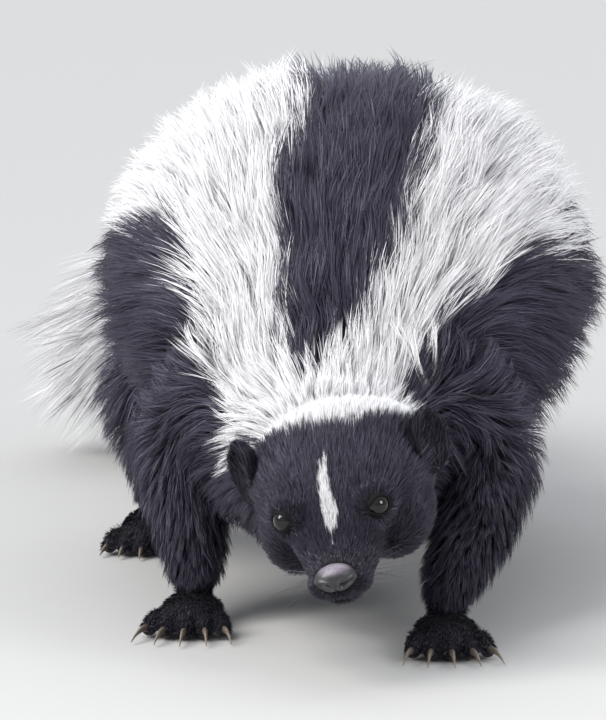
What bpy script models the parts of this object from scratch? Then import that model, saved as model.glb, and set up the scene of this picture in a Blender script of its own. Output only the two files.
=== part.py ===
"""A striped skunk, life size, walking with its head low and its back arched.

Metres, +Z up. The animal faces -Y, its left side is +X, and it stands on Z = 0 with the origin
under the middle of its box. The body is modelled whole, as tapered sweeps along the spine, the
tail and the legs, with its long coat as locks, and is then parted with thin cuts.
"""

import math
import random

import bmesh
import bpy
import numpy as np
from mathutils import Euler, Matrix, Vector
from mathutils.bvhtree import BVHTree

MM = 0.001
GAP = 0.3 * MM  # between neighbouring nodes
DOWN = np.array([0.0, 0.0, -1.0])

# Stations of the neck and torso, front to back, in millimetres: x, y, z of the middle, then half
# width, height above, depth below and coat, all measured out to the tips of the coat.
TORSO_MM = (
    (2, -125, 69, 34, 25, 34, 10),
    (-2, -105, 68.5, 40, 31, 41, 13),
    (-3, -85, 68, 47, 38, 46, 17),
    (-3, -55, 74, 60, 47, 51, 21),
    (-1, -20, 88, 76, 59, 61, 25),
    (2, 15, 102, 90, 71, 71, 28),
    (4, 50, 110, 98, 79, 75, 31),
    (5, 85, 113, 99, 80, 74, 33),
    (6, 115, 110, 90, 73, 66, 34),
    (8, 140, 105, 66, 58, 50, 32),
    (10, 156, 101, 36, 36, 33, 26),
)
BELLY_COAT = 0.4  # of the coat on the back

# Stations of the tail's own flesh: x, y, z, radius, and the length of its hair.
TAIL_MM = (
    (11, 140, 105, 20, 44),
    (12, 165, 103, 15, 50),
    (13, 195, 102, 13, 60),
    (8, 235, 97, 11.5, 68),
    (-12, 266, 87, 10.5, 72),
    (-42, 281, 72, 9, 72),
    (-70, 276, 55, 6, 66),
)

# Stations of each leg from the shoulder or hip to the paw: x, y, z, radius with the coat, coat.
LEGS_MM = {
    "foreleg_left": (
        (40, -54, 88, 25, 14), (55, -52, 62, 24, 10), (52, -76, 40, 19, 8),
        (42, -103, 21, 13.5, 5.5), (39, -113, 11, 10, 4),
    ),
    "foreleg_right": (
        (-42, -46, 88, 25, 14), (-56, -38, 62, 24, 10), (-55, -50, 40, 19, 8),
        (-53, -65, 21, 13.5, 5.5), (-53, -75, 11, 10, 4),
    ),
    "hindleg_left": (
        (38, 90, 98, 42, 24), (48, 80, 66, 29, 14), (47, 108, 40, 18, 8),
        (45, 128, 21, 12.5, 5), (45, 130, 11, 10.5, 4),
    ),
    "hindleg_right": (
        (-44, 76, 98, 42, 24), (-65, 52, 66, 29, 14), (-69, 76, 40, 18, 8),
        (-69, 94, 21, 12.5, 5), (-69, 96, 11, 10.5, 4),
    ),
}
SHOULDERS_MM = (((34, -52, 78), (22, 36, 34)), ((-38, -46, 78), (22, 36, 34)))
LEG_TOP = 58 * MM  # where a leg is parted from the torso
LEG_ROOM = 6 * MM  # how far round a leg its locks go with it
WRIST = 20.5 * MM  # where a paw is parted from its leg

# Paws: heading in degrees from straight ahead, sole length behind the toes, toe length, claw.
PAWS = {
    "foreleg_left": {"name": "forepaw_left", "turn": 4, "sole": 19, "toe": 13, "claw": 15},
    "foreleg_right": {"name": "forepaw_right", "turn": -6, "sole": 19, "toe": 13, "claw": 15},
    "hindleg_left": {"name": "hindpaw_left", "turn": 6, "sole": 36, "toe": 11, "claw": 8},
    "hindleg_right": {"name": "hindpaw_right", "turn": -7, "sole": 36, "toe": 11, "claw": 8},
}
PAW_HALF_WIDTH = 12.5 * MM
PAW_HEIGHT = 15 * MM
TOES = 5
TOE_RADIUS = 4.4 * MM
TOE_SPREAD = 9  # degrees between neighbouring toes
TOE_STEP = 5.3 * MM
CLAW_RADIUS = 1.7 * MM
CLAW_TIP = 1.2 * MM  # height of its tip
CLAW_ARCH = 0.11  # of its length
SOLE_FLAT = 1.2 * MM  # how much of each sole is flattened on the floor

# The head has its own frame: the origin midway between the eyes, -Y along the muzzle, +Z up.
EYES_MIDDLE = np.array([-1.5, -165, 62]) * MM
HEAD_PITCH, HEAD_ROLL, HEAD_YAW = 16, -12, -5  # degrees: nose down, left side up, nose to the right
HEAD_MM = (
    (0, -31.5, -15.8, 6, 5, 5.5, 1),
    (0, -29, -16.2, 9, 7.5, 9, 1.5),
    (0, -24, -16.2, 11.5, 9.8, 12.5, 2),
    (0, -16, -14.3, 14.5, 12.5, 16, 2.5),
    (0, -8, -10.2, 18.5, 15, 19.5, 3),
    (0, 0, -6.5, 24, 17.5, 23.5, 4),
    (0, 10, -4, 31, 21.5, 29.5, 5.5),
    (0, 20, -2.5, 35, 25, 33, 7),
    (0, 30, -2, 36.5, 27, 34.5, 8),
    (0, 40, -2, 37, 27, 35, 9),
    (0, 52, -2.5, 34, 23, 33, 10),
)
HEAD_MASSES_MM = (  # the middle and half sizes of a brow, a lip pad and a cheek on the left
    ((12, -3.5, 3), (8.5, 7.5, 4)),
    ((6.5, -24, -18.3), (6.2, 8, 6)),
    ((17, 16, -14.5), (17, 25, 17.5)),
)
CHIN_MM = ((0, -20, -23.8), (8, 8.5, 5.5))
HEAD_BACK = 44 * MM  # in the head's frame, where the neck begins
EYE_RADIUS = 4.6 * MM
EYE_AIM = np.array([14.6, -3, -0.5]) * MM  # a point behind the left eye, in the head's frame
EYE_LOOK = np.array([0.60, -0.74, 0.22])
EYE_DEPTH = 2.6 * MM  # of its middle below the skin
LID_RING = 4.4 * MM
LID_THICK = 1.0 * MM
LID_SHAPE = (1.08, 0.9, 1)  # wider than high
NOSE_MIDDLE = np.array([0, -31, -13.2]) * MM
NOSE_HALF = np.array([7.6, 5.4, 5.0]) * MM
NOSTRIL = np.array([4.1, -35, -14.2]) * MM  # the left one
NOSTRIL_HALF = np.array([1.95, 4.2, 1.28]) * MM
NOSTRIL_TURN = (-20, 28)  # degrees about X and, outwards, about Y
GROOVE_MM = ((-0.5, -40, -20.2), (0.5, -35.4, -12.2))  # down the middle of the nose
MUZZLE_CORE = np.array([0, -12, -15]) * MM  # the lips are laid on the skin as seen from here
MOUTH_MM = ((-0.5, -31, -21.8), (6, -29, -23.8), (11, -22, -24), (14, -14.5, -23), (17, -8, -22))
MOUTH_RADIUS = 0.8 * MM
LIP_RADIUS = 1.5 * MM
LIP_DROP = 1.5 * MM  # of each lip from the line between them
LIP_DEPTH = 0.06  # of the way from the skin to the muzzle's core
EAR_MIDDLE = np.array([35, 27, 5.5]) * MM  # the left ear, in the head's frame
EAR_HALF = np.array([9.5, 6.5, 12.5]) * MM  # half width, depth, half height of the cup
EAR_WALL = 1.8 * MM
EAR_HOLLOW = 2.2 * MM  # how far forwards the hollow lies
EAR_RIM = 1.0 * MM  # how far in front of its middle the cup ends
EAR_TURN = 56  # degrees that the cup opens outwards from straight ahead
EAR_LEAN = 4  # degrees that its top leans outwards

# The long coat: where the core's surface lies, and how the locks are set on it.
SHORT_COAT, LONG_COAT = 8 * MM, 14 * MM  # between them the core sinks to half the coat's depth
CORE_SHARE = 0.52
FIRST_ROW = 24 * MM
ROW_STEP = 27 * MM
LOCK_STEP = 31 * MM
LOCK_LENGTH = 2.0  # times the depth of the coat
LOCK_HALF_WIDTH = 15.5 * MM
LOCK_HALF_THICK = 2.2 * MM
LOCK_ROOT = 7 * MM  # how deep a root is sunk in the core
LOCK_TAPER = (0.8, 1.0, 0.68)  # of its width at the root, middle and last ring before the tip
FULL_COAT = 26 * MM  # a coat this deep has locks of full width
WIDEST = math.radians(122)  # how far down each side locks are set, from the top
SIDE_DROOP = 0.42
TAIL_ROW_STEP = 23 * MM
TAIL_LOCKS = 6  # round the tail in each row
TAIL_LOCK_WIDTH = 11 * MM  # half
TAIL_LOCK_LEAN, TAIL_END_LEAN = math.radians(34), math.radians(22)  # away from the tail
TAIL_FIRST_LOCK = 30 * MM  # along the tail
LOWEST_LOCK = 6 * MM  # above the floor
SEED = 11

CORE_VOXEL, HEAD_VOXEL, PAW_VOXEL = 3.2 * MM, 1.5 * MM, 1.4 * MM
CORE_FACES, HEAD_FACES, PAW_FACES = 2400, 2000, 290
BODY_SHARE = 0.41  # of the triangles, kept after the locks are joined on
HEAD_SHARE = 0.68  # of the triangles, kept after the lids and lips are joined on

BLACK_FUR = (0.014, 0.013, 0.017, 1)
WHITE_FUR = (0.78, 0.77, 0.76, 1)
NOSE_SKIN = (0.030, 0.027, 0.030, 1)
EYE_BROWN = (0.008, 0.006, 0.005, 1)
HORN = (0.32, 0.27, 0.22, 1)


def unit(v):
    v = np.asarray(v, float)
    return v / np.linalg.norm(v)


def material(name, colour, roughness):
    made = bpy.data.materials.new(name)
    made.use_nodes = True
    shader = made.node_tree.nodes["Principled BSDF"]
    shader.inputs["Base Color"].default_value = colour
    shader.inputs["Roughness"].default_value = roughness
    made.diffuse_color = colour
    return made


def new_object(name, points, faces, collection):
    """A mesh object from points and faces, with its faces turned to point out."""
    mesh = bpy.data.meshes.new(name)
    mesh.from_pydata([tuple(p) for p in points], [], faces)
    shaped = bmesh.new()
    shaped.from_mesh(mesh)
    bmesh.ops.recalc_face_normals(shaped, faces=shaped.faces)
    shaped.to_mesh(mesh)
    shaped.free()
    made = bpy.data.objects.new(name, mesh)
    collection.objects.link(made)
    return made


def loft(name, rings, collection):
    """A closed skin through rings of equally many points, with a flat cap on each end."""
    count = len(rings[0])
    points = [p for ring in rings for p in ring]
    faces = []
    for i in range(len(rings) - 1):
        for j in range(count):
            a, b = i * count + j, i * count + (j + 1) % count
            faces.append((a, b, b + count, a + count))
    faces.append(tuple(reversed(range(count))))
    faces.append(tuple(range(len(points) - count, len(points))))
    return new_object(name, points, faces, collection)


def ellipsoid(name, matrix, collection, steps=16):
    """A unit sphere carried by a matrix that holds its half sizes, turn and place."""
    shaped = bmesh.new()
    bmesh.ops.create_uvsphere(shaped, u_segments=2 * steps, v_segments=steps, radius=1)
    bmesh.ops.transform(shaped, matrix=matrix, verts=shaped.verts)
    bmesh.ops.recalc_face_normals(shaped, faces=shaped.faces)
    mesh = bpy.data.meshes.new(name)
    shaped.to_mesh(mesh)
    shaped.free()
    made = bpy.data.objects.new(name, mesh)
    collection.objects.link(made)
    return made


def placed(middle, half, turn=None):
    """The matrix of an ellipsoid or box: its middle, half sizes and an optional rotation."""
    rotation = turn.to_4x4() if turn is not None else Matrix.Identity(4)
    return Matrix.Translation(Vector(middle)) @ rotation @ Matrix.Diagonal((*half, 1))


class Sweep:
    """A body swept along a curve through its stations, each with a half width, a height above,
    a depth below and the depth of the coat, all in metres. up is roughly where its upper side
    faces: +Z for what runs level, +Y for a leg that runs down."""

    def __init__(self, rows_mm, up=(0, 0, 1)):
        self.rows = np.array(rows_mm, float) * MM
        steps = np.linalg.norm(np.diff(self.rows[:, :3], axis=0), axis=1)
        self.knots = np.concatenate([[0], np.cumsum(steps)])
        self.length = self.knots[-1]
        self.slopes = np.gradient(self.rows, self.knots, axis=0)
        self.up = np.array(up, float)

    def row(self, s):
        """The station at arc length s, on a smooth curve through the given ones."""
        i = int(np.clip(np.searchsorted(self.knots, s) - 1, 0, len(self.knots) - 2))
        span = self.knots[i + 1] - self.knots[i]
        t = np.clip((s - self.knots[i]) / span, 0, 1)
        a, b = self.rows[i], self.rows[i + 1]
        bend_a, bend_b = self.slopes[i] * span, self.slopes[i + 1] * span
        return (
            (1 + 2 * t) * (1 - t) ** 2 * a + t * (1 - t) ** 2 * bend_a
            + t * t * (3 - 2 * t) * b + t * t * (t - 1) * bend_b
        )

    def frame(self, s):
        """Middle, direction, side and upward direction at s. Past an end it runs on straight."""
        inside = float(np.clip(s, 0, self.length))
        step = 0.5 * MM
        ahead, behind = self.row(min(inside + step, self.length)), self.row(max(inside - step, 0))
        along = unit(ahead[:3] - behind[:3])
        side = unit(np.cross(along, self.up))
        middle = self.row(inside)[:3] + along * (s - inside)
        return middle, along, side, np.cross(side, along)

    def coat(self, s):
        return self.row(float(np.clip(s, 0, self.length)))[6]

    def point(self, s, angle, outward=0.0):
        """The point at s, angle round from the top towards +X, outward of the coat's tips."""
        middle, _, side, up = self.frame(s)
        half_width, above, below = self.row(float(np.clip(s, 0, self.length)))[3:6]
        height = above if math.cos(angle) > 0 else below
        reach = max(half_width + outward, MM) * math.sin(angle) * side
        return middle + reach + max(height + outward, MM) * math.cos(angle) * up

    def ring(self, s, outward, count):
        angles = [2 * math.pi * j / count for j in range(count)]
        return [self.point(s, a, outward(s, a)) for a in angles]


def thinned(coat, angle):
    """How far the core lies inside the tips: nothing under short fur, half under long fur."""
    long_share = np.clip((coat - SHORT_COAT) / (LONG_COAT - SHORT_COAT), 0, 1)
    belly = 1 - (1 - BELLY_COAT) * max(0.0, -math.cos(angle))
    return -coat * CORE_SHARE * long_share * belly


def round_sweep(rows_mm, up):
    """A sweep of round sections from rows of x, y, z, radius and coat."""
    return Sweep([(x, y, z, r, r, r, coat) for x, y, z, r, coat in rows_mm], up)


def sweep_object(name, sweep, collection, spacing, count=28, outward=None):
    """The sweep's core as a closed mesh, with its ends rounded off."""
    outward = outward or (lambda s, a: thinned(sweep.coat(s), a))
    steps = max(3, round(sweep.length / spacing))
    rings = [sweep.ring(sweep.length * i / steps, outward, count) for i in range(steps + 1)]
    return loft(name, rings, collection)


def evaluated_mesh(thing):
    graph = bpy.context.evaluated_depsgraph_get()
    return bpy.data.meshes.new_from_object(thing.evaluated_get(graph))


def bake(thing):
    """Applies a thing's modifiers to its mesh."""
    mesh = evaluated_mesh(thing)
    thing.modifiers.clear()
    thing.data = mesh


def remove_all(collection):
    for thing in list(collection.objects):
        bpy.data.objects.remove(thing)


def remeshed(name, pieces, voxel, smoothing, faces, home):
    """One smooth closed mesh round all the overlapping pieces, with about so many triangles."""
    shaped = bmesh.new()
    for piece in pieces.objects:
        shaped.from_mesh(piece.data)
    mesh = bpy.data.meshes.new(name)
    shaped.to_mesh(mesh)
    shaped.free()
    remove_all(pieces)
    made = bpy.data.objects.new(name, mesh)
    home.objects.link(made)
    blocks = made.modifiers.new("blocks", "REMESH")
    blocks.mode = "VOXEL"
    blocks.voxel_size = voxel
    soften = made.modifiers.new("soften", "SMOOTH")
    soften.factor = 0.5
    soften.iterations = smoothing
    bake(made)
    thin(made, faces / (2 * len(made.data.polygons)))
    return made


def thin(thing, share):
    """Keeps about this share of a thing's triangles, fewest where it is flattest."""
    fewer = thing.modifiers.new("fewer", "DECIMATE")
    fewer.ratio = min(1.0, share)
    thing.modifiers.new("triangles", "TRIANGULATE")
    bake(thing)


def combine(thing, operation, collection):
    """Joins to a thing, or cuts from it, every object of a collection, which is then removed."""
    join = thing.modifiers.new("join", "BOOLEAN")
    join.operation = operation
    join.operand_type = "COLLECTION"
    join.collection = collection
    join.solver = "MANIFOLD"
    bake(thing)
    remove_all(collection)
    keep_largest(thing)


def keep_largest(thing):
    """Drops every closed surface of the thing except the one with the most faces."""
    shaped = bmesh.new()
    shaped.from_mesh(thing.data)
    bmesh.ops.remove_doubles(shaped, verts=shaped.verts, dist=0.002 * MM)
    bmesh.ops.triangulate(shaped, faces=shaped.faces)
    unseen = set(shaped.faces)
    bodies = []
    while unseen:
        body, front = set(), [unseen.pop()]
        while front:
            face = front.pop()
            body.add(face)
            near = {other for edge in face.edges for other in edge.link_faces} & unseen
            unseen -= near
            front.extend(near)
        bodies.append(body)
    largest = max(bodies, key=len)
    bmesh.ops.delete(
        shaped, geom=[f for body in bodies if body is not largest for f in body], context="FACES"
    )
    shaped.to_mesh(thing.data)
    shaped.free()


def copy_of(thing, name, home):
    made = bpy.data.objects.new(name, thing.data.copy())
    home.objects.link(made)
    return made


def grown_copy(thing, by, home):
    """A copy with every vertex moved out along its normal, for cutting a neighbour clear."""
    made = copy_of(thing, thing.name + "_grown", home)
    out = made.modifiers.new("out", "DISPLACE")
    out.mid_level = 0
    out.strength = by
    bake(made)
    return made


def cut_with(thing, operation, *cutters):
    """Cuts a thing with the cutters, or keeps what lies in the one cutter, and removes them."""
    group = bpy.data.collections.new("cutters")
    for cutter in cutters:
        for home in list(cutter.users_collection):
            home.objects.unlink(cutter)
        group.objects.link(cutter)
    combine(thing, operation, group)
    bpy.data.collections.remove(group)


def box(name, low, high, home):
    low, high = np.array(low, float), np.array(high, float)
    shaped = bmesh.new()
    bmesh.ops.create_cube(shaped, size=2)
    bmesh.ops.transform(
        shaped, matrix=placed((low + high) / 2, (high - low) / 2), verts=shaped.verts
    )
    mesh = bpy.data.meshes.new(name)
    shaped.to_mesh(mesh)
    shaped.free()
    made = bpy.data.objects.new(name, mesh)
    home.objects.link(made)
    return made


def sleeve(rows_mm, low, high, home, grow=0.0):
    """All that lies close round a leg between two heights, or, grown, a little more than that
    and all that is below it. Each level section of the slanting leg is an ellipse."""
    rows = np.array(sorted(rows_mm, key=lambda row: row[2]), float) * MM

    def section(z):
        return np.array([np.interp(z, rows[:, 2], rows[:, k]) for k in (0, 1, 3)])

    heights = list(np.linspace(low, high, 7))
    if grow:
        heights = [-1 * MM, low / 2, *heights, high + GAP]
    rings = []
    for z in heights:
        x, y, radius = section(min(z, high))
        slope = (section(z + 7 * MM) - section(z - 7 * MM))[:2] / (14 * MM)
        steepness = np.linalg.norm(slope)
        ahead = slope / steepness if steepness else np.array([1.0, 0.0])
        reach = radius + LEG_ROOM + grow
        ring = []
        for j in range(24):
            a = 2 * math.pi * j / 24
            u = reach * math.sqrt(1 + steepness**2) * math.cos(a) * ahead
            v = reach * math.sin(a) * np.array([-ahead[1], ahead[0]])
            ring.append((x + u[0] + v[0], y + u[1] + v[1], z))
        rings.append(ring)
    return loft("sleeve", rings, home)


def lock(name, path, outward, half_width, half_thick, home):
    """A flat tapered lock of fur along a path of points, its flat side facing outward."""
    rings = []
    for i, share in enumerate(LOCK_TAPER):
        along = unit(path[i + 1] - path[max(i - 1, 0)])
        across = unit(np.cross(along, outward))
        off = unit(np.cross(across, along))
        wide, thick = across * half_width * share, off * half_thick * share
        rings.append([path[i] + wide, path[i] + thick, path[i] - wide, path[i] - thick])
    points = [p for ring in rings for p in ring] + [path[-1]]
    faces = [(3, 2, 1, 0)]
    for i in range(len(rings) - 1):
        for j in range(4):
            a, b = 4 * i + j, 4 * i + (j + 1) % 4
            faces.append((a, b, b + 4, a + 4))
    last, tip = 4 * (len(rings) - 1), len(points) - 1
    faces += [(last + j, last + (j + 1) % 4, tip) for j in range(4)]
    return new_object(name, points, faces, home)


def coat_locks(torso, core, home, draw):
    """The long coat of nape, back, flanks and rump: rows of locks that lie back over each other."""
    surface = surface_of(core)

    def on_core(s, angle):
        """Where a line from far out towards the spine first meets the core, and the way out.
        Legs do not count: a lock goes no further out than the torso does."""
        middle = torso.frame(s)[0]
        tip = torso.point(s, angle) - middle
        out = unit(tip)
        hit = surface.ray_cast(Vector(middle + out * 0.3), Vector(-out))[0]
        reach = np.linalg.norm(np.array(hit) - middle) if hit is not None else MM
        return middle + out * min(reach, np.linalg.norm(tip)), out

    s, row = FIRST_ROW, 0
    while s < torso.length - 4 * MM:
        middle = torso.frame(s)[0]
        girth = np.linalg.norm(on_core(s, math.pi / 2)[0] - middle)
        across = max(3, round(2 * WIDEST * girth / LOCK_STEP))
        for j in range(across + row % 2):
            share = (j + 0.5 * ((row + 1) % 2)) / across
            angle = WIDEST * (2 * share - 1) + draw.uniform(-0.04, 0.04)
            if abs(angle) > WIDEST:
                continue
            coat = torso.coat(s)
            reach = LOCK_LENGTH * coat * draw.uniform(0.9, 1.1)
            rise = coat * (1 - CORE_SHARE) * draw.uniform(0.92, 1.05)
            droop = SIDE_DROOP * math.sin(angle) * reach / girth
            path = []
            for t in (0, 0.38, 0.72, 1):
                foot, out = on_core(s + reach * t * 0.9 - 4 * MM, angle + droop * t)
                path.append(foot + out * (-LOCK_ROOT + (rise + LOCK_ROOT) * t**0.7))
            size = min(1.0, coat / FULL_COAT) * draw.uniform(0.92, 1.08)
            out = on_core(s, angle)[1]
            half_width = LOCK_HALF_WIDTH * size
            lock(f"lock_{row}_{j}", path, out, half_width, LOCK_HALF_THICK, home)
        s += ROW_STEP * min(1.0, torso.coat(s) / FULL_COAT)
        row += 1


def tail_locks(tail, home, draw):
    """The plume: long locks that leave the tail at a slant, bend along it and droop."""
    rows = round((tail.length - TAIL_FIRST_LOCK) / TAIL_ROW_STEP)
    for row in range(rows + 1):
        s = TAIL_FIRST_LOCK + (tail.length - TAIL_FIRST_LOCK - 4 * MM) * row / rows
        for j in range(TAIL_LOCKS):
            angle = 2 * math.pi * (j + 0.5 * (row % 2)) / TAIL_LOCKS + draw.uniform(-0.15, 0.15)
            middle, along, _, _ = tail.frame(s)
            foot = tail.point(s, angle, -2 * MM)
            out = unit(foot - middle)
            reach = tail.coat(s) * draw.uniform(0.9, 1.08)
            lean = TAIL_LOCK_LEAN if row < rows else TAIL_END_LEAN
            way = along * math.cos(lean) + out * math.sin(lean)
            path = []
            for t in (0, 0.35, 0.7, 1):
                ahead = tail.frame(min(s + reach * t, tail.length))[1]
                turned = unit(way + 0.5 * t * (ahead - along) + 0.22 * t * DOWN)
                p = foot + turned * reach * t
                p[2] = max(p[2], LOWEST_LOCK)
                path.append(p)
            size = draw.uniform(0.9, 1.1) * (0.62 + 0.38 * math.sin(math.pi * row / rows))
            half_width = TAIL_LOCK_WIDTH * size
            lock(f"plume_{row}_{j}", path, out, half_width, LOCK_HALF_THICK, home)


def behind(sweep, s, skin, lean, home, grow=0.0, far=90 * MM):
    """All that lies behind the station s: a disc across the sweep, then a cone round it that
    leans back as the hair does, so that few locks cross it. skin gives, for an angle, how far
    out of the coat's tips the disc ends."""
    count, slope = 24, math.tan(math.radians(lean))
    angles = [2 * math.pi * j / count for j in range(count)]
    stops = [0.0]
    while stops[-1] < sweep.length - s + far:
        stops.append(stops[-1] + 12 * MM)
    rings = []
    for ahead in stops:
        out = grow + ahead * slope
        rings.append([sweep.point(s + ahead - grow, a, skin(a) + out) for a in angles])
    return loft("behind", rings, home)


def head_matrix():
    turn = Euler([math.radians(a) for a in (HEAD_PITCH, HEAD_ROLL, 0)], "YXZ").to_matrix()
    turn = Matrix.Rotation(math.radians(HEAD_YAW), 3, "Z") @ turn
    return Matrix.Translation(Vector(EYES_MIDDLE)) @ turn.to_4x4()


def mirrored(v, side):
    return np.array([v[0] * side, v[1], v[2]])


def add_head_masses(pieces):
    """The fleshy forms of the head in its own frame: skull and muzzle, brows, pads and chin."""
    head = Sweep(HEAD_MM)
    sweep_object("skull", head, pieces, 3 * MM, 32, lambda s, a: 0.0)
    for side in (-1, 1):
        for middle, half in HEAD_MASSES_MM:
            at = mirrored(np.array(middle) * MM, side)
            ellipsoid("mass", placed(at, np.array(half) * MM), pieces)
    middle, half = np.array(CHIN_MM) * MM
    ellipsoid("chin", placed(middle, half), pieces)


def torus(name, matrix, ring, tube, home):
    shaped = bmesh.new()
    around, across = 16, 6
    verts = []
    for i in range(around):
        a = 2 * math.pi * i / around
        for j in range(across):
            b = 2 * math.pi * j / across
            r = ring + tube * math.cos(b)
            verts.append(shaped.verts.new((r * math.cos(a), r * math.sin(a), tube * math.sin(b))))
    for i in range(around):
        for j in range(across):
            a, b = i * across, ((i + 1) % around) * across
            k = (j + 1) % across
            shaped.faces.new((verts[a + j], verts[b + j], verts[b + k], verts[a + k]))
    bmesh.ops.transform(shaped, matrix=matrix, verts=shaped.verts)
    bmesh.ops.recalc_face_normals(shaped, faces=shaped.faces)
    mesh = bpy.data.meshes.new(name)
    shaped.to_mesh(mesh)
    shaped.free()
    made = bpy.data.objects.new(name, mesh)
    home.objects.link(made)
    return made


def surface_of(thing):
    return BVHTree.FromPolygons(
        [v.co for v in thing.data.vertices], [tuple(p.vertices) for p in thing.data.polygons]
    )


def on_skin(surface, inner, out):
    """Where the skin is first met on the way to an inner point from far out."""
    hit = surface.ray_cast(Vector(inner + out * 60 * MM), Vector(-out))[0]
    return np.array(hit)


def eye_place(surface, side):
    """Where an eye breaks the skin, its middle, and the rotation of +Z to where it looks."""
    look = unit(mirrored(EYE_LOOK, side))
    skin = on_skin(surface, mirrored(EYE_AIM, side), look)
    return skin, skin - look * EYE_DEPTH, Vector(look).to_track_quat("Z", "Y").to_matrix()


def mouth_path(surface, side, drop):
    """The line between the lips on one side, or a line so far above it, as rows of points."""
    rows = []
    for guess in MOUTH_MM:
        aim = mirrored(np.array(guess) * MM, side) + np.array([0, 0, drop])
        rows.append(on_skin(surface, MUZZLE_CORE, unit(aim - MUZZLE_CORE)))
    return rows


def tube(name, points, radius, sides, home):
    rows = [(*(p / MM), radius / MM, 0) for p in points]
    return sweep_object(name, round_sweep(rows, (0, 0, 1)), home, 4 * MM, sides, lambda s, a: 0.0)


def build_head(home, spare):
    """Head, nose, eyes and ears, in the head's frame, cut clear of each other."""
    pieces = bpy.data.collections.new("head pieces")
    add_head_masses(pieces)
    head = remeshed("head", pieces, HEAD_VOXEL, 5, HEAD_FACES, home)
    surface = surface_of(head)
    eye_places = {side: eye_place(surface, side) for side in (1, -1)}
    for side, (skin, _, turn) in eye_places.items():
        torus("lids", placed(skin, LID_SHAPE, turn), LID_RING, LID_THICK, pieces)
        for drop in (LIP_DROP, -LIP_DROP):
            path = mouth_path(surface, side, drop)[1:]
            path = [p + (MUZZLE_CORE - p) * LIP_DEPTH for p in path]
            tube("lip", path, LIP_RADIUS, 8, pieces)
    combine(head, "UNION", pieces)
    thin(head, HEAD_SHARE)

    nose = ellipsoid("nose", placed(NOSE_MIDDLE, NOSE_HALF), home, 8)
    cutters = [ellipsoid("room", placed(NOSE_MIDDLE, NOSE_HALF + GAP), pieces, 8)]
    for side, (_, middle, turn) in eye_places.items():
        room = placed(middle, (EYE_RADIUS + GAP,) * 3, turn)
        cutters.append(ellipsoid("socket", room, pieces, 9))
        cutters.append(tube("mouth", mouth_path(surface, side, 0), MOUTH_RADIUS, 6, pieces))
    for cutter in cutters:
        cut_with(head, "DIFFERENCE", cutter)

    nostrils = []
    for side in (-1, 1):
        pitch, roll = NOSTRIL_TURN
        turn = Euler((math.radians(pitch), math.radians(roll * side), 0)).to_matrix()
        hole = placed(mirrored(NOSTRIL, side), NOSTRIL_HALF, turn)
        nostrils.append(ellipsoid("nostril", hole, pieces, 5))
    groove = box("groove", *(np.array(GROOVE_MM) * MM), pieces)
    cut_with(nose, "DIFFERENCE", *nostrils, groove)

    eyes, ears = [], []
    for side, name in ((1, "left"), (-1, "right")):
        _, middle, turn = eye_places[side]
        eyes.append(ellipsoid(f"eye_{name}", placed(middle, (EYE_RADIUS,) * 3, turn), home, 8))
        ears.append(build_ear(f"ear_{name}", side, head, home, spare))
    return head, nose, eyes, ears


def build_ear(name, side, head, home, spare):
    """A rounded cup, open forwards and outwards, cut clear of the head that it stands on."""
    turn = (
        Matrix.Rotation(math.radians(EAR_TURN * side), 3, "Z")
        @ Matrix.Rotation(math.radians(EAR_LEAN * side), 3, "Y")
    )
    at = mirrored(EAR_MIDDLE, side)
    ear = ellipsoid(name, placed(at, EAR_HALF, turn), home, 7)
    inner = at + np.array(turn @ Vector((0, -EAR_HOLLOW, 0)))
    hollow = ellipsoid("hollow", placed(inner, EAR_HALF - EAR_WALL, turn), spare, 7)
    front = box("front", (-1, -1, -1), (1, 0, 1), spare)
    front.data.transform(placed(at, (0.03, 0.03, 0.03), turn))
    front.data.transform(Matrix.Translation(Vector(turn @ Vector((0, -EAR_RIM, 0)))))
    cut_with(ear, "DIFFERENCE", front)
    cut_with(ear, "DIFFERENCE", hollow)
    clear = grown_copy(head, 1.5 * GAP, spare)
    thin(clear, 0.3)
    cut_with(ear, "DIFFERENCE", clear)
    return ear


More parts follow.
